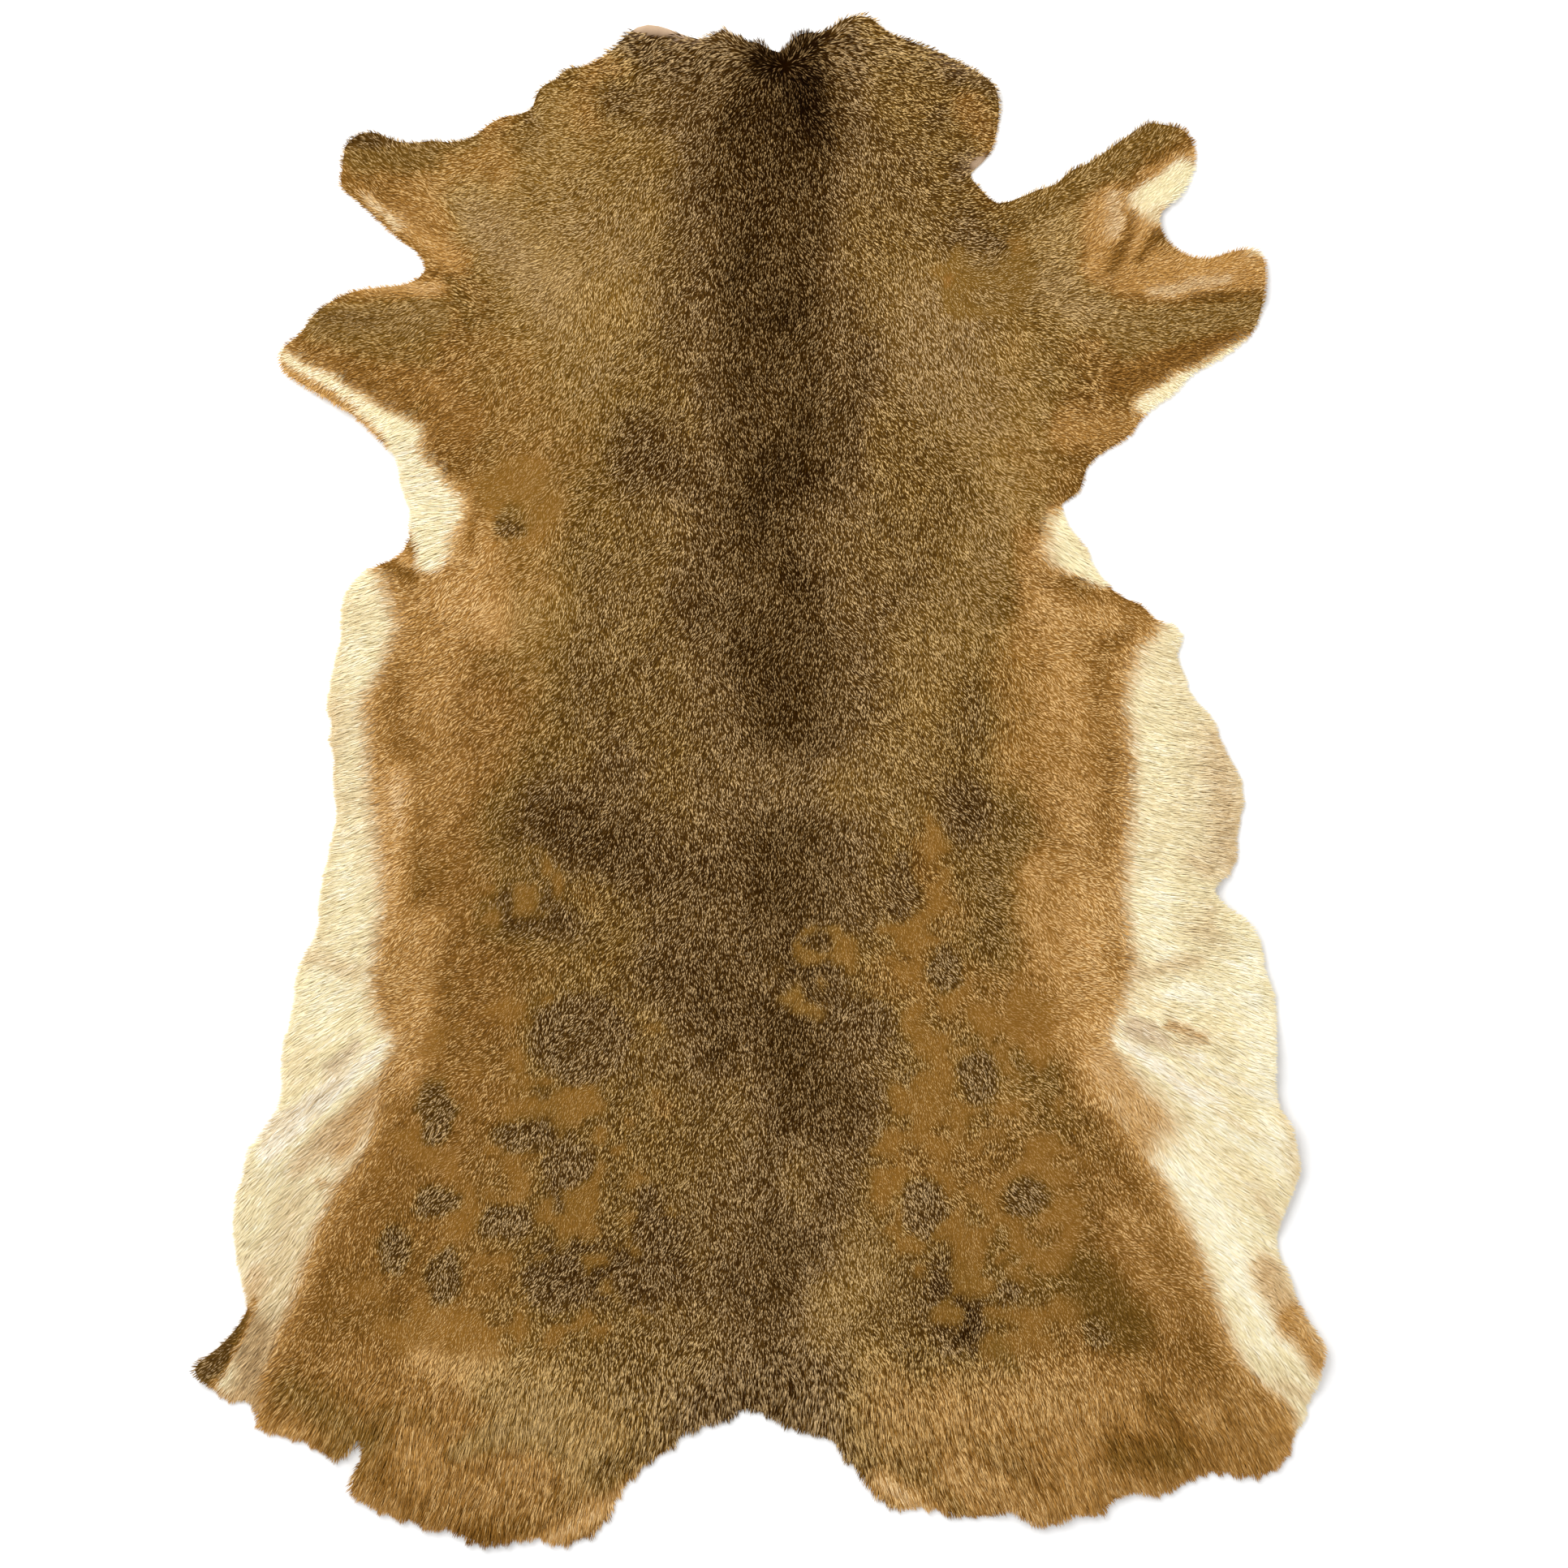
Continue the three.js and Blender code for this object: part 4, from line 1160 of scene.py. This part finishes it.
def skin_surface(sizes):
    """The hair side of the skin: a square grid over the hide, with height ground(x, y). Squares whose
    middle lies inside the skin's edge are kept, and the points on their outer sides are slid along the
    slope of skin_rim onto the edge itself."""
    maps = hide_maps()
    cell = sizes.cell / MM
    inset = sizes.inset / MM
    lattice = maps["lattice"]
    x = np.arange(lattice.x[0], lattice.x[-1], cell)
    y = np.arange(lattice.y[0], lattice.y[-1], cell)
    xx, yy = (grid.ravel() for grid in np.meshgrid(x, y))
    number = np.arange(len(xx)).reshape(len(y), len(x))
    squares = np.stack([number[:-1, :-1], number[:-1, 1:], number[1:, 1:], number[1:, :-1]], -1)
    squares = squares.reshape(-1, 4)
    middle_x, middle_y = xx[squares].mean(1), yy[squares].mean(1)
    squares = squares[read("skin_rim", middle_x, middle_y) > inset]
    uses = np.bincount(squares.ravel(), minlength=len(xx))
    rim = read("skin_rim", xx, yy)
    outer = (uses > 0) & ((uses < 4) | (rim < inset))
    for _ in range(3):
        slide = np.where(outer, np.clip(read("skin_rim", xx, yy) - inset, -cell, cell), 0)
        xx = xx + slide * read("out_x", xx, yy)
        yy = yy + slide * read("out_y", xx, yy)
    used, joined = np.unique(squares, return_inverse=True)
    xx, yy = xx[used], yy[used]
    return np.stack([xx, yy, ground(xx, yy)], -1), joined.reshape(-1, 4)


def hair_roots(sizes, rng):
    """Roots of the hair: a square grid of the hair spacing, each point moved at random within its square,
    kept where there is skin under it and the skin isn't bare."""
    maps = hide_maps()
    lattice = maps["lattice"]
    spacing = sizes.spacing / MM
    x = np.arange(lattice.x[0], lattice.x[-1], spacing)
    y = np.arange(lattice.y[0], lattice.y[-1], spacing)
    xx, yy = (grid.ravel() for grid in np.meshgrid(x, y))
    xx = xx + rng.uniform(0, spacing, len(xx))
    yy = yy + rng.uniform(0, spacing, len(yy))
    kept = read("skin_rim", xx, yy) > sizes.inset / MM + 0.3
    kept &= lattice.read(bare_map(), xx, yy) < rng.uniform(0.2, 0.8, len(xx))
    return xx[kept], yy[kept]


def hair_length(x, y, sizes):
    """Length of the hair in millimetres: the back's, blended into the belly's over the cream, into the
    legs' on the fore legs, into the nape's and the rump's towards those edges, and a little under three
    quarters of that where it is worn."""
    hue, _, _, worn = (hide_maps()["lattice"].read(values, x, y) for values in coat_maps())
    long = blend(sizes.back_hair, sizes.belly_hair, smooth((hue - 4) / 2.5))
    long = blend(long, sizes.leg_hair, smooth((np.abs(x) - 200) / 60) * smooth((y - 250) / 60))
    long = blend(long, sizes.nape_hair, smooth((y - 550) / 40))
    long = blend(long, sizes.rump_hair, smooth((-430 - y) / 110))
    return long * (1 - 0.28 * worn) / MM


def hair_blades(sizes, rng):
    """Every hair as four points, root, left, right and tip, with its palette places.

    A hair leaves the skin at its first pitch, bends at its middle and goes on at its second pitch, both
    measured from the ground under it, and lower towards the hide's edge and in pale hair. Neighbouring
    hairs share most of their turn and lean, so the coat parts into small tufts. A tip that would stand past
    the hide's edge by more than its own margin is drawn back. Hairs that cross the edge close together
    share part of that margin, and most of it at the rump and the neck, where it parts the edge into locks."""
    lattice = hide_maps()["lattice"]
    x, y = hair_roots(sizes, rng)
    count = len(x)
    flow_x, flow_y = (lattice.read(flow, x, y) for flow in flow_maps())
    heading = np.arctan2(flow_y, flow_x)
    pale = smooth((lattice.read(coat_maps()[0], x, y) - 5) / 1.5)
    stray = 0.42 * noise(x, y, 13, 101) + 0.3 * noise(x, y, 34, 103) + rng.normal(0, 0.16, count)
    rump = smooth((-440 - y) / 70)
    heading += stray * (1 - 0.6 * pale) * (1 - 0.6 * rump)
    long = hair_length(x, y, sizes) * rng.uniform(0.72, 1.2, count) * (1 + 0.1 * noise(x, y, 7, 107))
    rim = read("rim", x, y)
    low = (0.55 + 0.45 * smooth(rim / 24)) * (1 - 0.35 * pale)
    first = np.radians(ROOT_PITCH + rng.normal(0, 5, count) + 7 * noise(x, y, 8, 109)) * low
    second = np.radians(TIP_PITCH + rng.normal(0, 7, count) + 6 * noise(x, y, 8, 109)) * low

    over = x + long * np.cos(heading), y + long * np.sin(heading)
    past = read("rim", *over)
    reach = np.clip(rim / np.maximum(rim - past, 1e-3), 0, 1)
    tuft = noise(x + reach * (over[0] - x), y + reach * (over[1] - y), 6, 113)
    locks = np.maximum(rump, smooth((y - 560) / 20))
    margin = EDGE_MARGIN + rng.uniform(-1, 1, count) + (TUFT_REACH + LOCK_REACH * locks) * tuft
    share = np.where(past < -margin, (rim + margin) / np.maximum(rim - past, 1e-3), 1)
    long = long * np.clip(share, 0.3, 1)

    half = long / 2
    middle_out = half * np.cos(first)
    tip_out = middle_out + half * np.cos(second)
    middle_up = 0.25 + half * np.sin(first)
    tip_up = np.maximum(middle_up + half * np.sin(second), 0.3)
    along = np.stack([np.cos(heading), np.sin(heading)], -1)
    across = np.stack([-along[:, 1], along[:, 0]], -1)
    width = sizes.hair_width / MM / 2 * rng.uniform(0.75, 1.25, count) * np.clip(long / 6, 0.5, 0.95)
    roll = rng.normal(0, 0.38, count)

    root = np.stack([x, y], -1)
    middle = root + along * middle_out[:, None]
    tip = root + along * tip_out[:, None]
    side = across * (width * np.cos(roll))[:, None]
    rise = width * np.sin(roll)
    middle_z = ground(middle[:, 0], middle[:, 1]) + middle_up
    points = np.empty((count, 4, 3))
    points[:, 0, :2], points[:, 0, 2] = root, ground(x, y) - 0.2
    points[:, 1, :2], points[:, 1, 2] = middle + side, middle_z + rise
    points[:, 2, :2], points[:, 2, 2] = middle - side, middle_z - rise
    points[:, 3, :2], points[:, 3, 2] = tip, ground(tip[:, 0], tip[:, 1]) + tip_up
    return points, palette_places(x, y, rng)


def palette_places(x, y, rng):
    """Palette places of each hair's root, left, right and tip. The coat's maps are read a little off the
    root, so that markings mix hair by hair. A ticked hair is dark at its root and by chance has a pale or a
    dark band at its middle, which fades towards its tip."""
    lattice = hide_maps()["lattice"]
    count = len(x)
    near = x + rng.normal(0, 1.2, count), y + rng.normal(0, 1.2, count)
    hue, tone, tick, _ = (lattice.read(values, *near) for values in coat_maps())
    hue = hue + rng.normal(0, 0.16, count) * np.clip(tick + 0.25, 0, 1)
    light = rng.uniform(-1, 1, count)
    light = np.sign(light) * np.abs(light) ** 0.85
    drawn = np.interp(hue, [2, 4.5, 7], [0.05, 0.12, 0.15]) + 0.05 * smooth((-440 - y) / 80)
    tone = tone + streaks(x, y) * drawn
    band = tone + tick * (BAND_EVEN + BAND_CHANCE * light) + rng.normal(0, 0.03, count)
    tip = tone + tick * (TIP_EVEN + TIP_CHANCE * light)
    root = tone + ROOT_EVEN + ROOT_TICKED * tick
    across = np.clip(hue, 0.04, COLOURS - 1.04) / (COLOURS - 1)
    half = 0.003
    places = np.empty((count, 4, 2))
    places[:, :, 0] = across[:, None] + np.array([0, -half, half, 0])
    places[:, 0, 1], places[:, 1, 1], places[:, 2, 1], places[:, 3, 1] = root, band, band, tip
    return np.clip(places, 0.002, 0.998)


class DEERHIDE_OT_skin(bpy.types.Operator):
    """Lay the tanned skin, with wool on its hair side and suede on its flesh side"""

    bl_idname = "deerhide.skin"
    bl_label = "Lay the skin"

    def execute(self, context):
        sizes = context.scene.hide_sizes
        points, squares = skin_surface(sizes)
        if not len(squares):
            raise RuntimeError("the skin has no faces: its inset is larger than the hide")
        skin = new_mesh(SKIN_NAME, points, squares, 4)
        skin.data.materials.append(undercoat_material())
        skin.data.materials.append(flesh_material())
        lattice = hide_maps()["lattice"]
        x, y = points[:, 0], points[:, 1]
        hue, tone, tick, _ = (lattice.read(values, x, y) for values in coat_maps())
        # The wool takes the hair's colour at a lower tone, most where the hair is ticked: painted shade of
        # the gaps between the hairs.
        wool = palette_colour(hue, np.clip(tone - 0.12 - 0.2 * tick, 0, 1))
        bare = lattice.read(bare_map(), x, y)[:, None]
        pale = np.array(context.scene.coat_colours.bare_skin[:])
        colours = np.ones((len(points), 4), np.float32)
        colours[:, :3] = blend(wool, pale, bare)
        kept = skin.data.color_attributes.new(UNDERCOAT, "FLOAT_COLOR", "POINT")
        kept.data.foreach_set("color", colours.ravel())
        skin.data.polygons.foreach_set("use_smooth", np.ones(len(squares), bool))
        wall = skin.modifiers.new("thickness", "SOLIDIFY")
        wall.thickness = sizes.thickness
        wall.offset = -1
        wall.material_offset = 1
        wall.material_offset_rim = 1
        settle(skin)
        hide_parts(NODE)
        return {"FINISHED"}


class DEERHIDE_OT_coat(bpy.types.Operator):
    """Grow the coat on the skin, in bands from the neck to the rump"""

    bl_idname = "deerhide.coat"
    bl_label = "Grow the coat"

    def execute(self, context):
        sizes = context.scene.hide_sizes
        points, places = hair_blades(sizes, np.random.default_rng(sizes.seed))
        hair = coat_material()
        root_y = points[:, 0, 1]
        top = np.inf
        for name, bottom in BANDS:
            here = (root_y < top) & (root_y >= bottom)
            top = bottom
            if not here.any():
                raise RuntimeError(f"{name} has no hair: its band lies off the hide")
            first = 4 * np.arange(here.sum())[:, None]
            corners = np.concatenate([first + [0, 2, 1], first + [1, 2, 3]], axis=1)
            band = new_mesh(name, points[here].reshape(-1, 3), corners, 3)
            palette_map = band.data.uv_layers.new(name=PALETTE_MAP)
            order = np.array([0, 2, 1, 1, 2, 3])
            palette_map.data.foreach_set("uv", places[here][:, order].astype(np.float32).ravel())
            band.data.materials.append(hair)
            settle(band)
        return {"FINISHED"}


class DEERHIDE_OT_stage(bpy.types.Operator):
    """Set the pale floor, the camera straight above and the soft light"""

    bl_idname = "deerhide.stage"
    bl_label = "Set the stage"

    def execute(self, context):
        scene = context.scene
        stage = scene.hide_stage
        half = stage.floor_side / MM / 2
        low = -stage.floor_drop / MM
        corners = np.array([[-half, -half, low], [half, -half, low], [half, half, low], [-half, half, low]])
        floor = new_mesh("floor", corners, np.array([[0, 1, 2, 3]]), 4)
        plain = Nodes("pale_floor", 0.9, 0.1)
        plain.shader.inputs["Base Color"].default_value = (*stage.floor, 1)
        floor.data.materials.append(plain.material)

        camera = bpy.data.objects.new("camera", bpy.data.cameras.new("camera"))
        camera.data.lens = stage.focal
        camera.data.sensor_width = stage.sensor
        far = stage.view_width * stage.focal / stage.sensor
        camera.location = (stage.view_x, -stage.view_y, far)
        camera.data.clip_end = 4 * far
        scene.collection.objects.link(camera)
        scene.camera = camera

        key = bpy.data.lights.new("key", "AREA")
        key.shape = "DISK"
        key.size = stage.key_width
        key.energy = stage.key
        lamp = bpy.data.objects.new("key", key)
        lamp.location = stage.key_place
        lamp.rotation_euler = (-lamp.location).to_track_quat("-Z", "Y").to_euler()
        scene.collection.objects.link(lamp)

        world = bpy.data.worlds.new("studio")
        world.use_nodes = True
        sky = world.node_tree.nodes["Background"]
        sky.inputs["Color"].default_value = (1, 1, 1, 1)
        sky.inputs["Strength"].default_value = stage.sky
        scene.world = world
        scene.view_settings.view_transform = "Standard"
        return {"FINISHED"}


class DEERHIDE_PT_panel(bpy.types.Panel):
    """The rug's steps and settings"""

    bl_idname = "DEERHIDE_PT_panel"
    bl_label = "Deerhide rug"
    bl_space_type = "VIEW_3D"
    bl_region_type = "UI"
    bl_category = "Deerhide"

    def draw(self, context):
        for operator in OPERATORS:
            self.layout.operator(operator.bl_idname)
        for group in (context.scene.hide_sizes, context.scene.coat_colours, context.scene.hide_stage):
            box = self.layout.box()
            for key in group.__annotations__:
                box.prop(group, key)


OPERATORS = (DEERHIDE_OT_stage, DEERHIDE_OT_skin, DEERHIDE_OT_coat)
GROUPS = (HideSizes, CoatColours, StageSettings)


def register():
    for entry in (*GROUPS, *OPERATORS, DEERHIDE_PT_panel):
        bpy.utils.register_class(entry)
    bpy.types.Scene.hide_sizes = PointerProperty(type=HideSizes)
    bpy.types.Scene.coat_colours = PointerProperty(type=CoatColours)
    bpy.types.Scene.hide_stage = PointerProperty(type=StageSettings)


def unregister():
    del bpy.types.Scene.hide_stage
    del bpy.types.Scene.coat_colours
    del bpy.types.Scene.hide_sizes
    for entry in reversed((*GROUPS, *OPERATORS, DEERHIDE_PT_panel)):
        bpy.utils.unregister_class(entry)


def main():
    """Makes the rug."""
    register()
    bpy.ops.deerhide.stage()
    bpy.ops.deerhide.skin()
    bpy.ops.deerhide.coat()


if __name__ == "__main__":
    main()
